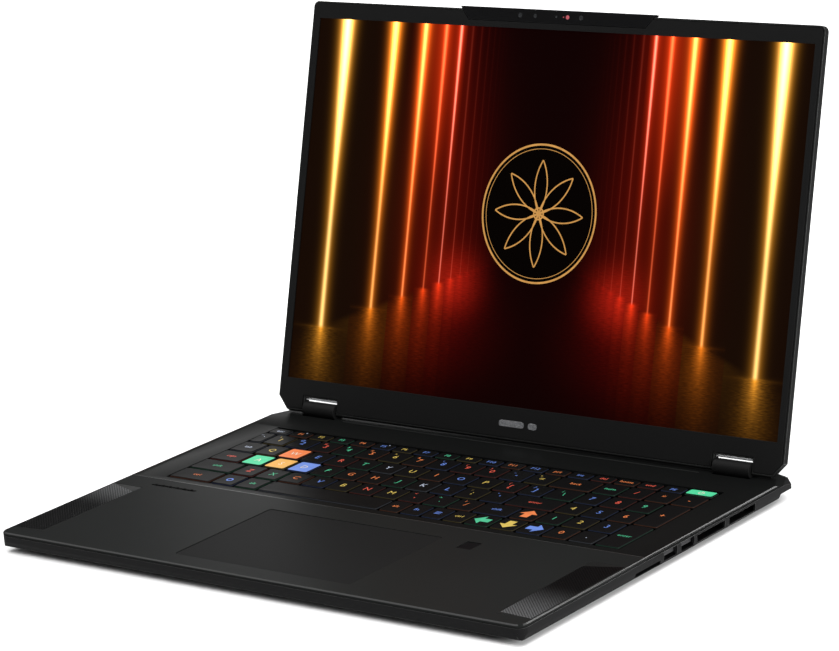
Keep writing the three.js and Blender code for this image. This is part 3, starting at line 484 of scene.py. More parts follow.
def bar(shape, x0, x1, y0, y1, z0, z1, radius, edge):
    """A block with rounded upright corners and softened upper edges."""
    rings = [rounded_ring(x0, x1, y0, y1, z0, radius)]
    for inset, drop, share in BAR_PROFILE:
        step = edge * inset
        rings.append(rounded_ring(x0 + step, x1 - step, y0 + step, y1 - step, z1 - edge * drop,
                                  radius * share))
    loft(shape, rings)


def flat(shape, points, material=0):
    face = shape.faces.new([shape.verts.new(point) for point in points])
    face.material_index = material


def rectangle(shape, x0, x1, y0, y1, z, material=0):
    flat(shape, [(x0, y0, z), (x1, y0, z), (x1, y1, z), (x0, y1, z)], material)


def band(shape, x, y, z, inner, outer, start=0.0, end=2 * math.pi, steps=ROUND_STEPS,
         material=0):
    """A flat ring, or a part of one, facing up."""
    closed = end - start >= 2 * math.pi - 1e-6
    count = steps if closed else steps + 1
    angles = [start + (end - start) * i / steps for i in range(count)]
    rows = [[shape.verts.new((x + r * math.cos(a), y + r * math.sin(a), z)) for a in angles]
            for r in (inner, outer)]
    for i in range(steps):
        j = (i + 1) % count
        face = shape.faces.new((rows[0][i], rows[1][i], rows[1][j], rows[0][j]))
        face.material_index = material


def lettering(shape, text, size, x, y, z, material):
    """Adds text as flat faces, centred on x and y."""
    curve = bpy.data.curves.new("lettering", "FONT")
    curve.body = text
    curve.size = size
    curve.resolution_u = 2
    curve.align_x = "CENTER"
    curve.align_y = "CENTER"
    source = bpy.data.objects.new("lettering", curve)
    mesh = bpy.data.meshes.new_from_object(source)
    mesh.transform(Matrix.Translation((x, y, z)))
    before = len(shape.faces)
    shape.from_mesh(mesh)
    shape.faces.ensure_lookup_table()
    for face in shape.faces[before:]:
        face.material_index = material
    bpy.data.objects.remove(source)
    bpy.data.curves.remove(curve)
    bpy.data.meshes.remove(mesh)


# -------- keyboard

Key = namedtuple("Key", "node left right row rear_row text color")

LETTERS = "oyrgbw"
key_a_low, key_a_high = span("key_a")
key_s_low = span("key_s")[0]
KEY_GAP = key_s_low.x - key_a_high.x
UNIT = key_s_low.x - key_a_low.x
KEY_BOTTOM = key_a_low.z
KEY_TOP = key_a_high.z
FIELD_LEFT = span("number_row_keys")[0].x - KEY_GAP / 2
NUMPAD_LEFT = span("numpad_keys")[0].x - KEY_GAP / 2
ROW_NODES = ("space_bar", "left_shift_key", "enter_key", "key_w", "backspace_key", "power_key")
FUNCTION_ROW = 5
ROW_SPANS = [(span(node)[0].y, span(node)[1].y) for node in ROW_NODES]


def before(node):
    """The left edge of a key's cell."""
    return span(node)[0].x - KEY_GAP / 2


def after(node):
    return span(node)[1].x + KEY_GAP / 2


def steps(start, pitch, count):
    return [start + i * pitch for i in range(count + 1)]


def row_keys(node, row, edges, texts, colors, own_nodes=None):
    """Keys between neighbouring edges; own_nodes names the keys that are nodes of their own."""
    return [Key((own_nodes or {}).get(i, node), edges[i], edges[i + 1], row, row, text, color)
            for i, (text, color) in enumerate(zip(texts.split(), colors))]


FUNCTION_TEXTS = "esc F1 F2 F3 F4 F5 F6 F7 F8 F9 F10 F11 F12 prt ins del home end pg"
SINGLE_KEYS = {
    "key_arrow_up": (1, "up", "o"), "key_arrow_left": (0, "left", "g"),
    "key_arrow_down": (0, "down", "y"), "key_arrow_right": (0, "right", "b"),
    "space_bar": (0, "", "w"), "enter_key": (2, "enter", "r"),
    "backspace_key": (4, "back", "o"), "left_shift_key": (1, "shift", "g"),
    "power_key": (5, "power", "g"),
}


def keyboard_layout():
    """Every key: its node, its left and right edge, its row or rows, its sign and its light."""
    count = len(FUNCTION_TEXTS.split())
    function_edges = steps(FIELD_LEFT, (before("power_key") - FIELD_LEFT) / count, count)
    shift_end = after("left_shift_key")
    arrows = before("key_arrow_left")
    space_end = after("space_bar")
    pad = steps(NUMPAD_LEFT, UNIT, 4)
    left_edge = [FIELD_LEFT]
    rows = (
        ("function_row_keys", 5, function_edges, FUNCTION_TEXTS, "woygobybgybobobrorb"),
        ("number_row_keys", 4, left_edge + steps(before("backspace_key") - 12 * UNIT, UNIT, 12),
         "` 1 2 3 4 5 6 7 8 9 0 - =", "wybrgoyobrrby"),
        ("upper_letter_keys", 3, left_edge + steps(before("key_w") - UNIT, UNIT, 12) + [NUMPAD_LEFT],
         "tab Q W E R T Y U I O P [ ] \\", "wyobrgwyobyrbg", {2: "key_w"}),
        ("home_row_keys", 2, left_edge + steps(before("key_a"), UNIT, 11),
         "caps A S D F G H J K L ; '", "rgybgoogwbyb", {1: "key_a", 2: "key_s", 3: "key_d"}),
        ("lower_letter_keys", 1, steps(shift_end, UNIT, 10) + [before("key_arrow_up")],
         "Z X C V B N M , . / shift", "rgobyryrgob"),
        ("modifier_keys", 0, left_edge + steps(shift_end, UNIT, 2), "ctrl ring alt", "obg"),
        ("modifier_keys", 0, steps(space_end, (arrows - space_end) / 4, 4), "alt fn menu ctrl", "obby"),
        ("numpad_keys", 4, pad, "num / * -", "groo"),
        ("numpad_keys", 3, pad, "7 8 9", "brg"),
        ("numpad_keys", 2, pad, "4 5 6", "ybo"),
        ("numpad_keys", 1, pad, "1 2 3", "gyb"),
        ("numpad_keys", 0, pad[1:], "0 .", "ow"),
    )
    keys = [key for row in rows for key in row_keys(*row)]
    keys.append(Key("numpad_keys", pad[3], pad[4], 2, 3, "+", "o"))
    keys.append(Key("numpad_keys", pad[3], pad[4], 0, 1, "enter", "g"))
    for node, (row, text, color) in SINGLE_KEYS.items():
        keys.append(Key(node, before(node), after(node), row, row, text, color))
    return keys


def middle_of(key):
    """The middle of a key in x and y."""
    return (key.left + key.right) / 2, (ROW_SPANS[key.row][0] + ROW_SPANS[key.rear_row][1]) / 2


# Inset, height and corner radius of a cap's rings, from its foot to the bottom of its dish
CAP_PROFILE = (
    (0.0, KEY_BOTTOM, 1.3), (0.12, KEY_BOTTOM + 0.6, 1.3), (0.25, KEY_TOP - 0.35, 1.3),
    (0.4, KEY_TOP - 0.09, 1.3), (0.8, KEY_TOP, 1.3), (1.3, KEY_TOP - 0.03, 1.1),
    (2.6, KEY_TOP - 0.07, 0.7),
)
# A cap's materials: its top, its sides, then one skirt per letter of LETTERS
TOP_SLOT, SIDE_SLOT, FIRST_SKIRT = 0, 1, 2


def cap(shape, key):
    """One key cap: dark foot, a thin light-leaking band, a soft rim and a shallow dish."""
    x0 = key.left + KEY_GAP / 2
    x1 = key.right - KEY_GAP / 2
    y0 = ROW_SPANS[key.row][0]
    y1 = ROW_SPANS[key.rear_row][1]
    rings = [rounded_ring(x0 + inset, x1 - inset, y0 + inset, y1 - inset, z, radius)
             for inset, z, radius in CAP_PROFILE]
    skirt = FIRST_SKIRT + LETTERS.index(key.color)
    loft(shape, rings, [SIDE_SLOT, skirt, SIDE_SLOT, SIDE_SLOT, TOP_SLOT, TOP_SLOT])


ARROW_TURNS = {"right": 0, "up": 1, "left": 2, "down": 3}
ARROW_SIZE = 6.4
ARROW_OUTLINE = (
    (1, 0), (0.05, 1), (0.05, 0.42), (-0.85, 0.42), (-0.85, -0.42), (0.05, -0.42), (0.05, -1),
)


def arrow(shape, x, y, z, quarter_turns, material):
    """A broad arrow: a wide head on a short stem."""
    turn = Matrix.Rotation(quarter_turns * math.pi / 2, 3, "Z")
    outline = [turn @ Vector((a * ARROW_SIZE, b * ARROW_SIZE, 0)) for a, b in ARROW_OUTLINE]
    flat(shape, [point + Vector((x, y, z)) for point in outline], material)


# Letter heights by the length of a sign, in millimetres
LEGEND_SIZES = {1: 7.0, 2: 5.2, 3: 4.8, 4: 4.4, 5: 4.4}
FUNCTION_SIZE = 4.6
SIGN_Z = KEY_TOP + 0.02
LINE = 0.3
POWER_RING = (1.5, 2.1)
POWER_ARC = (math.radians(125), math.radians(415))
POWER_STROKE = (0.2, 2.5)
ROUND_SIGN = (1.5, 2.5)
MENU_LINES = (-1.5, 0, 1.5)
MENU_REACH = 2.2


def legend(shape, key, material):
    x, y = middle_of(key)
    if key.text in ARROW_TURNS:
        arrow(shape, x, y, SIGN_Z, ARROW_TURNS[key.text], material)
    elif key.text == "power":
        band(shape, x, y, SIGN_Z, *POWER_RING, *POWER_ARC, material=material)
        low, high = POWER_STROKE
        rectangle(shape, x - LINE, x + LINE, y + low, y + high, SIGN_Z, material)
    elif key.text == "ring":
        band(shape, x, y, SIGN_Z, *ROUND_SIGN, material=material)
    elif key.text == "menu":
        for shift in MENU_LINES:
            rectangle(shape, x - MENU_REACH, x + MENU_REACH, y + shift - LINE, y + shift + LINE, SIGN_Z,
                      material)
    elif key.text:
        size = LEGEND_SIZES[len(key.text)]
        if key.row == FUNCTION_ROW:
            size = min(size, FUNCTION_SIZE)
        lettering(shape, key.text, size, x, y, SIGN_Z, material)


SHIFTED = dict(zip("1234567890-=[];',./`\\", "!@#$%^&*()_+{}:\"<>?~|"))
SHIFTED_SIZE = 3.6
SHIFTED_LEFT = 3.4
SHIFTED_DOWN = 4.2
LIT_NODES = {"key_w": "o", "key_a": "g", "key_s": "y", "key_d": "b", "power_key": "g"}
LAMP_KEYS = ("F1", "F5")
LAMP_RIGHT = 2.8
LAMP_DOWN = 1.6
LAMP_RADIUS = 0.55


def key_signs(keys, node):
    """The signs on the keys of one node."""
    signs = bmesh.new()
    for key in keys:
        slot = LETTERS.index(key.color)
        legend(signs, key, slot)
        if key.text in SHIFTED and node != "numpad_keys":
            x = middle_of(key)[0] - SHIFTED_LEFT
            y = ROW_SPANS[key.row][1] - SHIFTED_DOWN
            lettering(signs, SHIFTED[key.text], SHIFTED_SIZE, x, y, SIGN_Z, slot)
    return signs


def build_keyboard():
    keys = keyboard_layout()
    for node in sorted({key.node for key in keys}):
        body = BODY_OF[node]
        own = [key for key in keys if key.node == node]
        caps = bmesh.new()
        for key in own:
            cap(caps, key)
        top = LIT_CAPS[LIT_NODES[node]] if node in LIT_NODES else KEY
        looks = [top, KEY] + [SKIRT[letter] for letter in LETTERS]
        made = piece(f"{node}_caps", caps, looks, body, smooth_angle=CAP_ANGLE)
        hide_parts(node)
        signs = key_signs(own, node)
        if signs.faces:
            looks = [CAP_LETTER if node in LIT_NODES else LEGEND[letter] for letter in LETTERS]
            piece(f"{node}_legends", signs, looks, body)
        else:
            signs.free()
    lamps = bmesh.new()
    for key in keys:
        if key.text in LAMP_KEYS:
            x = middle_of(key)[0] + LAMP_RIGHT
            band(lamps, x, ROW_SPANS[FUNCTION_ROW][1] - LAMP_DOWN, SIGN_Z, 0, LAMP_RADIUS, steps=12)
    piece("lock_lamps", lamps, [LEGEND["w"]], "function_row_keys_body")


build_keyboard()

# -------- screen

# The picture: light columns stand in two rows that run away from the viewer. Distances are shares of
# the picture's width; column k stands at 1 / (1 / COLUMN_FIRST + k * COLUMN_STEP) from PICTURE_MIDDLE.
PICTURE_MIDDLE = 0.504
COLUMN_FIRST = 0.4425
COLUMN_STEP = 0.706
COLUMN_LAST = 11
HORIZON = 0.426
FLOOR_FALL = 0.627
PICTURE_BLACK = (0.0005, 0.0005, 0.0005)
MIDDLE_GAP = 0.01
FOOT_EDGE = (-0.004, 0.008)
WALL_EDGE = (-0.012, 0.012)

# Columns smaller than NEAR_SIZE are dim and fade upwards
NEAR_SIZE = (0.40, 0.44)
FAR_SIZE = 0.39
FAR_SIZE_POWER = 8.0
FAR_REACH = 0.24
FAR_SHARE = 0.5

# A pair (growth, start) is multiplied and added: growth * lift + start
LIFT_EDGE = (0.45, 1.05)
CORE_REACH = (0.0042, 0.0040)
CORE_REACH_POWER = 1.6
CORE_STRENGTH = (2.0, 0.85)
HALO_START = 0.42
HALO_GROWTH = 4.4
HALO_REACH = 0.0064
HALO_POWER = 1.15
HALO_STRENGTH = (0.64, 0.11)
BIG_SIZE = (0.5, 0.62)

# Reflections: their width below the foot, the power of their edge, their depth and their share
RIPPLE_STRETCH = (90, 380, 1)
RIPPLE_DETAIL = 4.0
RIPPLE_RANGE = (0.35, 1.65)
SHIMMER_GAIN = 1.9
SHIMMER_POWER = 2.2
ROOT_REACH = (0.10, 0.005)
ROOT_POWER = 1.4
ROOT_DEPTH = 0.035
ROOT_SHARE = 0.9
WIDE_REACH = (0.10, 0.016)
WIDE_POWER = 1.6
WIDE_DEPTH = 0.09
WIDE_SHARE = 0.27
GLINT_DEPTH = 0.004
GLINT_REACH = 0.02
GLINT_SHARE = 0.12

# Patches of broad light: middle and reach across, middle and reach upwards, strength
LOWER_WALL = ((0.215, 0.085), (0.5, 0.42), 0.068)
HAZE = ((0.165, 0.047), (0.31, 0.075), 0.25)
POOL = ((0.25, 0.13), (0.19, 0.13), 0.052)
UPPER_WALL_ACROSS = (0.232, 0.036)
UPPER_WALL_RISE = (0.5, 1.0)
UPPER_WALL_STRENGTH = 0.3
OUTER_EDGE = (0.25, 0.4)
OUTER_STRENGTH = 0.0035


def fall_off(tree, distance, reach, power=1.0):
    """exp(-(distance / reach) ** power)."""
    ratio = calc(tree, "POWER", calc(tree, "DIVIDE", distance, reach), power)
    return calc(tree, "EXPONENT", calc(tree, "MULTIPLY", ratio, -1.0))


def ramp(tree, factor, stops):
    made = node_of(tree, "ValToRGB", {"Fac": factor})
    elements = made.color_ramp.elements
    while len(elements) < len(stops):
        elements.new(0.5)
    for element, (place, color) in zip(elements, stops):
        element.position = place
        element.color = (*color, 1)
    return made.outputs["Color"]


def scaled(tree, color, factor):
    return node_of(tree, "VectorMath", {0: color, "Scale": factor}, operation="SCALE").outputs[0]


def summed(tree, *colors):
    total = colors[0]
    for color in colors[1:]:
        total = node_of(tree, "VectorMath", {0: total, 1: color}, operation="ADD").outputs[0]
    return total


def times(tree, *values):
    total = values[0]
    for value in values[1:]:
        total = calc(tree, "MULTIPLY", total, value)
    return total


def bell(tree, value, middle, reach):
    """A soft bump of height 1 round middle."""
    return fall_off(tree, calc(tree, "ABSOLUTE", calc(tree, "SUBTRACT", value, middle)), reach, 2.0)


Column = namedtuple("Column", "distance size above below standing underfoot strength")
Room = namedtuple("Room", "side up wall floor ripples")

# Colours over a column's size; the nearest column has size 1
HUE_STOPS = (
    (0.32, (1.0, 0.02, 0.008)), (0.44, (1.0, 0.045, 0.008)), (0.52, (1.0, 0.07, 0.008)),
    (0.615, (1.0, 0.12, 0.009)), (0.76, (1.0, 0.24, 0.014)), (1.0, (1.0, 0.38, 0.03)),
)
CORE_STOPS = (
    (0.39, (0.5, 0.07, 0.04)), (0.44, (0.8, 0.18, 0.12)), (0.52, (0.5, 0.08, 0.025)),
    (0.615, (0.8, 0.27, 0.085)), (0.76, (0.8, 0.4, 0.12)), (1.0, (1.0, 0.75, 0.28)),
)
# Colours over the distance from the picture's middle
WALL_STOPS = (
    (0.15, (1.0, 0.03, 0.004)), (0.23, (1.0, 0.045, 0.004)), (0.26, (1.0, 0.06, 0.006)),
    (0.31, (1.0, 0.13, 0.02)),
)
HAZE_COLOR = (1.0, 0.03, 0.012)
OUTER_COLOR = (1.0, 0.75, 0.2)
AMBIENT_COLOR = (0.0045, 0.0001, 0.0001)


def nearest_column(tree, side, up):
    """The nearest light column, seen from a point: how far off it stands, its size against the first
    one, the height above and the depth below its foot, and its strength."""
    inverse = calc(tree, "SUBTRACT", calc(tree, "DIVIDE", 1.0, side), 1 / COLUMN_FIRST)
    depth = calc(tree, "ROUND", calc(tree, "DIVIDE", inverse, COLUMN_STEP))
    index = calc(tree, "MINIMUM", calc(tree, "MAXIMUM", depth, 0), COLUMN_LAST)
    column = calc(tree, "DIVIDE", 1.0, calc(tree, "MULTIPLY_ADD", index, COLUMN_STEP, 1 / COLUMN_FIRST))
    size = calc(tree, "DIVIDE", column, COLUMN_FIRST)
    foot = calc(tree, "SUBTRACT", HORIZON, calc(tree, "MULTIPLY", column, FLOOR_FALL))
    above = calc(tree, "SUBTRACT", up, foot)
    standing = smooth_step(tree, above, *FOOT_EDGE)
    far = times(tree, calc(tree, "POWER", calc(tree, "DIVIDE", size, FAR_SIZE), FAR_SIZE_POWER),
                fall_off(tree, calc(tree, "MAXIMUM", above, 0.0), FAR_REACH), FAR_SHARE)
    near = smooth_step(tree, size, *NEAR_SIZE)
    return Column(
        distance=calc(tree, "ABSOLUTE", calc(tree, "SUBTRACT", side, column)),
        size=size,
        above=above,
        below=calc(tree, "MAXIMUM", calc(tree, "MULTIPLY", above, -1.0), 0.0),
        standing=standing,
        underfoot=calc(tree, "SUBTRACT", 1.0, standing),
        strength=calc(tree, "MAXIMUM", times(tree, far, calc(tree, "SUBTRACT", 1.0, near)), near),
    )


def column_light(tree, column, up, hue):
    """A pale core that widens upwards, in a coloured glow that grows upwards."""
    lift = smooth_step(tree, up, *LIFT_EDGE)
    core_reach = times(tree, calc(tree, "MULTIPLY_ADD", lift, *CORE_REACH),
                       calc(tree, "POWER", column.size, CORE_REACH_POWER))
    core = times(tree, fall_off(tree, column.distance, core_reach, 2.0),
                 calc(tree, "MULTIPLY_ADD", lift, *CORE_STRENGTH), column.standing, column.strength)
    rise = calc(tree, "MAXIMUM", calc(tree, "SUBTRACT", up, HALO_START), 0.0)
    growth = calc(tree, "EXPONENT", calc(tree, "MULTIPLY", rise, HALO_GROWTH))
    root_size = calc(tree, "POWER", column.size, 0.5)
    big = times(tree, smooth_step(tree, column.size, *BIG_SIZE), root_size)
    bright = calc(tree, "MULTIPLY_ADD", big, *HALO_STRENGTH)
    halo = times(tree, fall_off(tree, column.distance, times(tree, root_size, HALO_REACH), HALO_POWER),
                 growth, bright, column.standing, column.strength)
    return scaled(tree, hue, halo), scaled(tree, ramp(tree, column.size, CORE_STOPS), core)


def reflected_light(tree, column, ripples, hue):
    """A bright root, a wide shimmer and a thin glint across the foot."""
    shimmer = calc(tree, "POWER", calc(tree, "MULTIPLY", ripples, SHIMMER_GAIN), SHIMMER_POWER)
    root_reach = calc(tree, "MULTIPLY_ADD", column.below, *ROOT_REACH)
    root = times(tree, fall_off(tree, column.distance, root_reach, ROOT_POWER),
                 fall_off(tree, column.below, ROOT_DEPTH), column.underfoot, column.strength)
    wide_reach = times(tree, calc(tree, "MULTIPLY_ADD", column.below, *WIDE_REACH), column.size)
    wide = times(tree, fall_off(tree, column.distance, wide_reach, WIDE_POWER),
                 fall_off(tree, column.below, WIDE_DEPTH), column.underfoot, shimmer, column.strength,
                 column.size)
    glint = times(tree, fall_off(tree, calc(tree, "ABSOLUTE", column.above), GLINT_DEPTH),
                  fall_off(tree, column.distance, GLINT_REACH), column.size, column.size)
    return [scaled(tree, hue, times(tree, light, share))
            for light, share in ((root, ROOT_SHARE), (wide, WIDE_SHARE), (glint, GLINT_SHARE))]


def patch(tree, room, look, mask=1.0):
    """A soft patch of light in the picture."""
    across, upwards, strength = look
    return times(tree, bell(tree, room.side, *across), bell(tree, room.up, *upwards), mask, strength)


def room_light(tree, room, hue):
    """Broad light on the walls and the floor."""
    upper_wall = times(tree, bell(tree, room.side, *UPPER_WALL_ACROSS),
                       smooth_step(tree, room.up, *UPPER_WALL_RISE), room.wall, UPPER_WALL_STRENGTH)
    walls = calc(tree, "ADD", upper_wall, patch(tree, room, LOWER_WALL, room.wall))
    rippled = between(tree, room.ripples, *RIPPLE_RANGE)
    return (
        scaled(tree, ramp(tree, room.side, WALL_STOPS), walls),
        scaled(tree, HAZE_COLOR, times(tree, patch(tree, room, HAZE), rippled)),
        scaled(tree, hue, times(tree, patch(tree, room, POOL, room.floor), rippled)),
        scaled(tree, OUTER_COLOR, times(tree, smooth_step(tree, room.side, *OUTER_EDGE), OUTER_STRENGTH)),
        scaled(tree, AMBIENT_COLOR, 1.0),
    )


def picture_material():
    """Two rows of light columns that run away from the viewer, over a wet dark floor."""
    material, tree, shader = new_material(
        "screen_picture", Base_Color=PICTURE_BLACK, Roughness=0.3, Specular_IOR_Level=0.004)
    across, up = axes(tree, "UV")[:2]
    offset = calc(tree, "ABSOLUTE", calc(tree, "SUBTRACT", across, PICTURE_MIDDLE))
    side = calc(tree, "MAXIMUM", offset, MIDDLE_GAP)
    column = nearest_column(tree, side, up)
    hue = ramp(tree, column.size, HUE_STOPS)
    ripples = noise(tree, 1.0, RIPPLE_DETAIL, RIPPLE_STRETCH, "UV")
    wall_foot = calc(tree, "SUBTRACT", HORIZON, calc(tree, "MULTIPLY", side, FLOOR_FALL))
    wall = smooth_step(tree, calc(tree, "SUBTRACT", up, wall_foot), *WALL_EDGE)
    room = Room(side, up, wall, calc(tree, "SUBTRACT", 1.0, wall), ripples)
    light = summed(
        tree,
        *column_light(tree, column, up, hue),
        *reflected_light(tree, column, ripples, hue),
        *room_light(tree, room, hue),
    )
    tree.links.new(light, shader.inputs["Emission Color"])
    shader.inputs["Emission Strength"].default_value = 1.0
    return material


PANEL_SIDE_EDGE = 2.0
PANEL_LOWER_EDGE = 3.5
PANEL_UPPER_EDGE = 2.5
view_left = panel_low.x + PANEL_SIDE_EDGE
view_right = panel_high.x - PANEL_SIDE_EDGE
view_low = panel_low.y + PANEL_LOWER_EDGE
view_high = panel_high.y - PANEL_UPPER_EDGE
PICTURE_Z = panel_high.z + 0.05


def build_screen():
    sheet = bmesh.new()
    rectangle(sheet, view_left, view_right, view_low, view_high, PICTURE_Z)
    uv = sheet.loops.layers.uv.new("picture")
    sheet.faces.ensure_lookup_table()
    for corner, loop in zip(((0, 0), (1, 0), (1, 1), (0, 1)), sheet.faces[0].loops):
        loop[uv].uv = corner
    piece("screen_picture", sheet, [picture_material()], "lid", LID)


build_screen()

SIGN_GOLD = lit("sign_gold", (0.85, 0.42, 0.11), 0.8, (0.002, 0.002, 0.001), 0.6)
SIGN_DARK = coat("sign_dark", (0.0012, 0.0006, 0.0004), 0.6, 0.5, 0.0005, 0.004)
SIGN_RADIUS = 45.0
SIGN_HEIGHT = 0.515
# Inner and outer edge of the sign's two rings, inwards from its radius
SIGN_RINGS = ((1.3, 0), (3.6, 3.2))
RING_STEPS = 96
LEAVES = 8
LEAF_REACH = 0.86 * (SIGN_RADIUS - 5)
LEAF_BEND = math.radians(62)
LEAF_HALF_LINE = 0.45
HUB = (3.2, 4.2)
# Heights of the sign's layers over the picture; the two arcs of a leaf lie apart by twice ARC_LIFT
DISC_LIFT = 0.04
GOLD_LIFT = 0.07
HUB_LIFT = 0.09
ARC_LIFT = 0.004


def toward(angle):
    return Vector((math.cos(angle), math.sin(angle)))


def build_screen_sign():
    """A plain round sign in the picture: a ring with an eight-leaved rosette of thin arcs."""
    x = (view_left + view_right) / 2
    y = view_low + SIGN_HEIGHT * (view_high - view_low)
    sign = bmesh.new()
    band(sign, x, y, PICTURE_Z + DISC_LIFT, 0, SIGN_RADIUS, steps=RING_STEPS, material=1)
    for inner, outer in SIGN_RINGS:
        band(sign, x, y, PICTURE_Z + GOLD_LIFT, SIGN_RADIUS - inner, SIGN_RADIUS - outer, steps=RING_STEPS)
    arc_radius = LEAF_REACH / (2 * math.sin(LEAF_BEND / 2))
    drop = arc_radius * math.cos(LEAF_BEND / 2)
    for leaf in range(LEAVES):
        heading = 2 * math.pi * leaf / LEAVES
        for side in (-1, 1):
            turn = heading + side * (math.pi / 2)
            centre = Vector((x, y)) + LEAF_REACH / 2 * toward(heading) + drop * toward(turn)
            facing = turn + math.pi
            band(sign, centre.x, centre.y, PICTURE_Z + GOLD_LIFT + ARC_LIFT * side,
                 arc_radius - LEAF_HALF_LINE, arc_radius + LEAF_HALF_LINE,
                 facing - LEAF_BEND / 2, facing + LEAF_BEND / 2)
    band(sign, x, y, PICTURE_Z + HUB_LIFT, *HUB, steps=32)
    piece("screen_sign", sign, [SIGN_GOLD, SIGN_DARK], "lid", LID)


build_screen_sign()

# -------- lid

# Places along the camera strip, from its middle: x and radius of each window
CAMERA_WINDOWS = ((-28.0, 1.6), (-16.0, 1.3), (0.6, 0.8), (19.8, 1.6))
LENS_X = 9.4
LAMP_X = 6.2
# Height over the strip and radius of a turned part's rings; a window's radii are shares
WINDOW_RINGS = ((-0.1, 1), (0.08, 1), (0.1, 0.85), (0.02, 0.6))
LENS_RINGS = ((-0.1, 2.3), (0.12, 2.3), (0.16, 2.1), (0.05, 1.5))
GLOW_RINGS = ((0.06, 1.35), (0.1, 1.2))
LAMP_RINGS = ((-0.1, 0.5), (0.06, 0.4))


def turned(shape, x, y, z, rings, size=1.0, steps=ROUND_STEPS):
    """A turned part standing on z."""
    loft(shape, [round_ring(x, y, z + height, size * radius, steps) for height, radius in rings])


def build_lid():
    refined("lid_back_cover", [CASING, EDGE], 0.25)
    refined("lid_bezel", [BEZEL], 0.18)
    refined("camera_module", [GLOSS], 0.25, 3)
    camera_low, camera_high = span("camera_module", LID)
    y = (camera_low.y + camera_high.y) / 2
    z = camera_high.z
    windows = bmesh.new()
    for x, radius in CAMERA_WINDOWS:
        turned(windows, x, y, z, WINDOW_RINGS, radius)
    piece("camera_windows", windows, [WINDOW], "lid", LID)
    ring = bmesh.new()
    turned(ring, LENS_X, y, z, LENS_RINGS)
    piece("camera_lens", ring, [GLOSS], "lid", LID)
    glow = bmesh.new()
    turned(glow, LENS_X, y, z, GLOW_RINGS, steps=20)
    turned(glow, LAMP_X, y, z, LAMP_RINGS, steps=12)
    piece("camera_glow", glow, [CAMERA_GLOW], "lid", LID)


build_lid()

CHIN_BARS = ((-15, 5), (8, 15))
CHIN_HEIGHT = 9
CHIN_HALF_WIDTH = 2.0
CHIN_DEPTH = 0.1
CHIN_LIFT = 0.22


def build_chin():
    """The silver mark on the chin: a long and a short bar with round ends."""
    mark = bmesh.new()
    y = bezel_low.y + CHIN_HEIGHT
    z = bezel_high.z
    for x0, x1 in CHIN_BARS:
        bar(mark, x0, x1, y - CHIN_HALF_WIDTH, y + CHIN_HALF_WIDTH, z - CHIN_DEPTH, z + CHIN_LIFT,
            radius=1.9, edge=0.1)
    piece("chin_mark", mark, [SILVER], "lid", LID)


build_chin()

# The bright clip on each hinge: how far it stays off the barrel's ends, and its reach in the lid's frame
CLIP_INNER = 1.4
CLIP_OUTER = 3.2
CLIP_Y = (6.0, 7.0)
CLIP_Z = (-0.9, 1.4)


def build_hinges():
    for word, side in SIDES.items():
        refined(f"hinge_barrel_{word}", [BEZEL], 0.35, 3)
        inner, outer = sorted(abs(corner.x) for corner in span(f"hinge_barrel_{word}"))
        clip = bmesh.new()
        x0, x1 = sorted((side * (inner + CLIP_INNER), side * (outer - CLIP_OUTER)))
        bar(clip, x0, x1, *CLIP_Y, *CLIP_Z, radius=0.3, edge=0.15)
        piece(f"hinge_clip_{word}", clip, [SILVER], "lid", LID)


build_hinges()

# -------- base

DECK_BEVEL_REACH = 1
DECK_BEVEL_SLOPE = (0.2, 0.95)


def on_deck_edge(face):
    """Whether a face belongs to the bevel round the deck's upper edge."""
    middle = face.calc_center_median()
    inset = min(deck_high.x - abs(middle.x), middle.y - deck_low.y, deck_high.y - middle.y)
    flattest, steepest = DECK_BEVEL_SLOPE
    return inset < DECK_BEVEL_REACH and flattest < face.normal.z < steepest


def build_base():
    refined("palm_rest_deck", [DECK, EDGE], 0.2, rim=on_deck_edge)
    refined("bottom_cover", [UNDER_CASING, EDGE], 0.2)
    refined("touchpad", [TOUCH], 0.2)
    refined("fingerprint_reader", [READER], 0.15)
    for node in ("front_foot_left", "front_foot_right", "rear_foot"):
        refined(node, [RUBBER], 0.4, 3)


build_base()

BARREL_INNER = min(abs(corner.x) for corner in span("hinge_barrel_right"))
# The deck's ridges: reach left and right, middle, width and height
DECK_RIDGES = (
    (deck_high.x - 1.2, LOW_FRONT_Y - 0.4, 0.5, 0.05),
    (BARREL_INNER - 1.0, deck_low.y + 266.9, 0.9, 0.14),
)
RIDGE_DEPTH = 0.3
# Inset from the deck's side and drop from its top, of the rim's corners
RIM_OUTLINE = ((0.02, 0.82), (0.8, 0.02), (1.05, 0.02), (1.5, 0.62))
RIM_OVERLAP = 0.2


def build_deck_lines():
    """Fine lines of the deck in the lighter edge coat with its painted highlight: a lip before the
    keyboard, a ridge between the hinges, and the bevelled rim left and right of the lowered part."""
    ridges = bmesh.new()
    for reach, y, width, height in DECK_RIDGES:
        bar(ridges, -reach, reach, y - width / 2, y + width / 2, deck_high.z - RIDGE_DEPTH,
            deck_high.z + height, radius=0.15, edge=0.04)
    piece("deck_ridges", ridges, [EDGE], "base")
    for word, side in SIDES.items():
        corners = [(side * (deck_high.x - inset), deck_high.z - drop) for inset, drop in RIM_OUTLINE]
        rings = [[Vector((x, y, z)) for x, z in corners]
                 for y in (LOW_FRONT_Y - RIM_OVERLAP, LOW_REAR_Y + RIM_OVERLAP)]
        rim = bmesh.new()
        loft(rim, rings)
        piece(f"deck_rim_{word}", rim, [EDGE], "base", smooth_angle=RIM_ANGLE)


build_deck_lines()

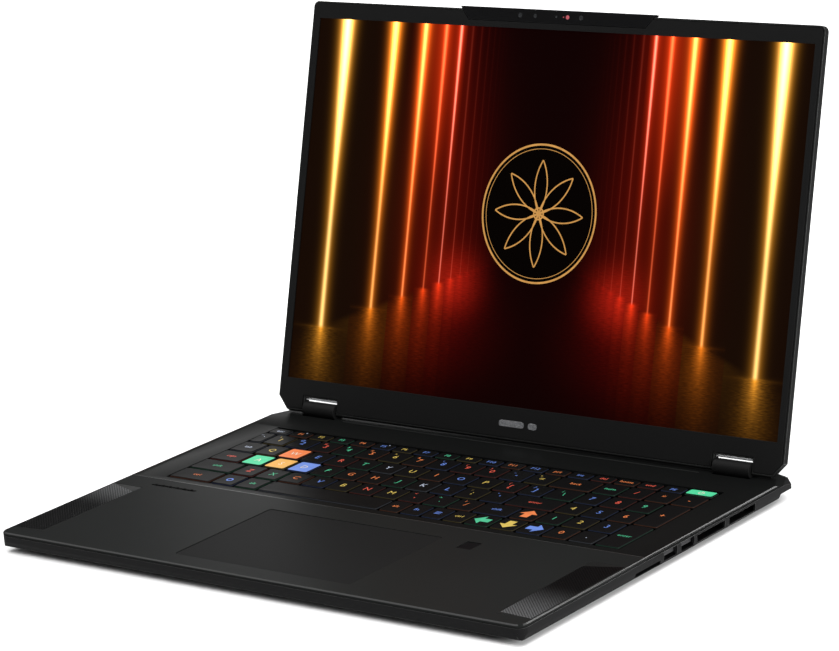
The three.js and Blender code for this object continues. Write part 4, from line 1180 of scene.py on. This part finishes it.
# Distances from the deck's middle and from its front edge: the plate, and the slanting field of holes
SPEAKER_X = (174.1, 197.9)
SPEAKER_Y = (11.6, 103.9)
SPEAKER_CORNERS = ((197.9, 12.0), (175.4, 14.0), (174.4, 95.2), (197.9, 103.4))
SPEAKER_THICKNESS = 0.4
SPEAKER_DROP = 0.04
FIELD_LIFT = 0.02


def build_speakers():
    """Perforated plates in the deck's two seats: a plain rim round the slanting field of holes."""
    front = deck_low.y
    z = deck_high.z - SPEAKER_DROP
    for word, side in SIDES.items():
        rim = bmesh.new()
        x0, x1 = sorted(side * x for x in SPEAKER_X)
        y0, y1 = (front + y for y in SPEAKER_Y)
        bar(rim, x0, x1, y0, y1, z - SPEAKER_THICKNESS, z, radius=0.3, edge=0.1)
        piece(f"speaker_rim_{word}", rim, [CASING], "base")
        field = bmesh.new()
        points = [Vector((side * x, front + y, z + FIELD_LIFT)) for x, y in SPEAKER_CORNERS]
        flat(field, points if side > 0 else points[::-1])
        piece(f"speaker_grille_{word}", field, [GRILLES[word]], "base")


build_speakers()

SLOT_X = (-171.0, -135.5)
SLOT_Y = deck_low.y + 111.9
SLOT_HALF_WIDTH = 0.9
SLOT_DEPTH = 0.6
SLOT_LIFT = 0.02
TEETH = 12
FIRST_TOOTH_X = -169.6
TOOTH_PITCH = 2.95
TOOTH_HALF_SIZE = (0.9, 1.3)
TOOTH_SWAY = 0.5
TOOTH_DEPTH = 0.4
TOOTH_LIFT = 0.04


def build_indicator():
    """The dark slot left of the touchpad: a thin black strip with a row of small black teeth."""
    top = deck_high.z
    strip = bmesh.new()
    bar(strip, *SLOT_X, SLOT_Y - SLOT_HALF_WIDTH, SLOT_Y + SLOT_HALF_WIDTH,
        top - SLOT_DEPTH, top + SLOT_LIFT, radius=0.5, edge=0.05)
    half_x, half_y = TOOTH_HALF_SIZE
    for i in range(TEETH):
        x = FIRST_TOOTH_X + i * TOOTH_PITCH
        y = SLOT_Y + TOOTH_SWAY * (-1) ** i
        bar(strip, x - half_x, x + half_x, y - half_y, y + half_y, top - TOOTH_DEPTH, top + TOOTH_LIFT,
            radius=0.3, edge=0.05)
    piece("indicator_strip", strip, [SLOT], "base")


build_indicator()

# The socket's tongue: its ends inside the shell, its height over the middle, its half width and thickness
TONGUE_ENDS = (1.6, 1.1)
TONGUE_RISE = 0.9
TONGUE_HALF_WIDTH = 5.6
TONGUE_HALF_THICKNESS = 1.0
PINS = 4
PIN_PITCH = 2.4
PIN_HALF_WIDTH = 0.5
PIN_X = (8, 2)
PIN_Z = (1.08, 0.95)


def build_sockets():
    for node in ("usb_a_port_front", "usb_a_port_rear"):
        low, high = span(node)
        y = (low.y + high.y) / 2
        z = (low.z + high.z) / 2 + TONGUE_RISE
        tongue = bmesh.new()
        bar(tongue, low.x + TONGUE_ENDS[0], high.x - TONGUE_ENDS[1],
            y - TONGUE_HALF_WIDTH, y + TONGUE_HALF_WIDTH,
            z - TONGUE_HALF_THICKNESS, z + TONGUE_HALF_THICKNESS, radius=0.2, edge=0.1)
        piece(f"{node}_tongue", tongue, [PLASTIC], "base")
        pins = bmesh.new()
        for i in range(PINS):
            pin = y + (i - (PINS - 1) / 2) * PIN_PITCH
            bar(pins, high.x - PIN_X[0], high.x - PIN_X[1], pin - PIN_HALF_WIDTH, pin + PIN_HALF_WIDTH,
                z - PIN_Z[0], z - PIN_Z[1], radius=0.1, edge=0.03)
        piece(f"{node}_pins", pins, [GOLD], "base")


build_sockets()

SCREW_X = (-178, -60, 60, 178)
SCREW_END = 34
SCREW_SHIFT = 6
SCREW_HEAD = ((0.3, 3.1), (-0.15, 3.1), (-0.35, 2.8))
SCREW_HOLE = ((-0.35, 1.35), (0.25, 1.2))
LOBES = 6
LOBE_DEPTH = 0.14


def build_screws():
    """Six-lobed screws round the underside."""
    screws = bmesh.new()
    z = cover_low.z
    middle = (cover_low.y + cover_high.y) / 2
    rows = (cover_low.y + SCREW_END, middle + SCREW_SHIFT, cover_high.y - SCREW_END)
    for x in SCREW_X:
        for y in rows:
            head = [round_ring(x, y, z + height, radius) for height, radius in SCREW_HEAD]
            hole = [round_ring(x, y, z + height, radius, lobes=LOBES, depth=LOBE_DEPTH)
                    for height, radius in SCREW_HOLE]
            loft(screws, head + hole)
    piece("bottom_screws", screws, [STEEL], "base")


build_screws()

# -------- stage, light and camera

FLOOR_REACH = 4000
FLOOR_Z = -0.05
PAPER = ((0.86, 0.86, 0.86), (0.9, 0.9, 0.9))
PAPER_SCALE = 30


def build_stage():
    floor = bmesh.new()
    rectangle(floor, -FLOOR_REACH, FLOOR_REACH, -FLOOR_REACH, FLOOR_REACH, FLOOR_Z)
    material, tree, shader = new_material("floor_paper", Roughness=0.9, Specular_IOR_Level=0.1)
    paper = mixed(tree, noise(tree, PAPER_SCALE, GRAIN_DETAIL), *PAPER)
    tree.links.new(paper, shader.inputs["Base Color"])
    added("floor", mesh_from("floor", floor, [material]))


SURROUND = 0.12
CEILING = 2.7
CEILING_EDGE = (0.35, 0.8)

# Place and aim in metres, width and height, power in watts
AREA_LIGHTS = {
    "edge_light": ((1.7, -0.35, 0.5), (0.1, -0.1, 0.05), (0.6, 0.6), 28),
    "rim_light": ((0.8, 1.6, 1.25), (0.2, -0.05, 0.014), (0.6, 0.6), 14),
    "rear_light": ((-0.62, 0.60, 0.17), (-0.17, 0.03, 0.014), (0.22, 0.22), 0.5),
}


def area_light(name, place, target, size, power):
    data = bpy.data.lights.new(name, "AREA")
    data.shape = "RECTANGLE"
    data.size, data.size_y = size
    data.energy = power
    made = added(name, data)
    made.location = place
    made.rotation_euler = (Vector(target) - Vector(place)).to_track_quat("-Z", "Y").to_euler()
    made.visible_camera = False


def build_light():
    """A bright ceiling over a dim surround, which itself looks white."""
    world = bpy.data.worlds.new("studio")
    world.use_nodes = True
    bpy.context.scene.world = world
    tree = world.node_tree
    background = tree.nodes["Background"]
    up = axes(tree, "Generated")[2]
    ceiling = between(tree, smooth_step(tree, up, *CEILING_EDGE), SURROUND, CEILING)
    seen = tree.nodes.new("ShaderNodeLightPath").outputs["Is Camera Ray"]
    tree.links.new(calc(tree, "MAXIMUM", ceiling, seen), background.inputs["Strength"])
    background.inputs["Color"].default_value = (1, 1, 1, 1)
    for name, look in AREA_LIGHTS.items():
        area_light(name, *look)


CAMERA_AZIMUTH = 38.96
CAMERA_ELEVATION = 15.11
CAMERA_ROLL = -5.11
CAMERA_DISTANCE = 2149.65
CAMERA_TARGET = Vector((1.11, 3.98, 117.05))
CAMERA_LENS = 150.32
SENSOR_WIDTH = 36.0
CLIP_END = 100


def build_camera():
    azimuth, elevation = math.radians(CAMERA_AZIMUTH), math.radians(CAMERA_ELEVATION)
    back = Vector((math.sin(azimuth) * math.cos(elevation), -math.cos(azimuth) * math.cos(elevation),
                   math.sin(elevation)))
    data = bpy.data.cameras.new("camera")
    data.sensor_width = SENSOR_WIDTH
    data.lens = CAMERA_LENS
    data.clip_end = CLIP_END
    made = added("camera", data)
    aim = (-back).to_track_quat("-Z", "Y").to_matrix().to_4x4()
    roll = Matrix.Rotation(math.radians(CAMERA_ROLL), 4, "Z")
    made.matrix_world = Matrix.Translation((CAMERA_TARGET + back * CAMERA_DISTANCE) * MM) @ aim @ roll
    bpy.context.scene.camera = made


build_stage()
build_light()
build_camera()
bpy.context.scene.view_settings.view_transform = "Standard"
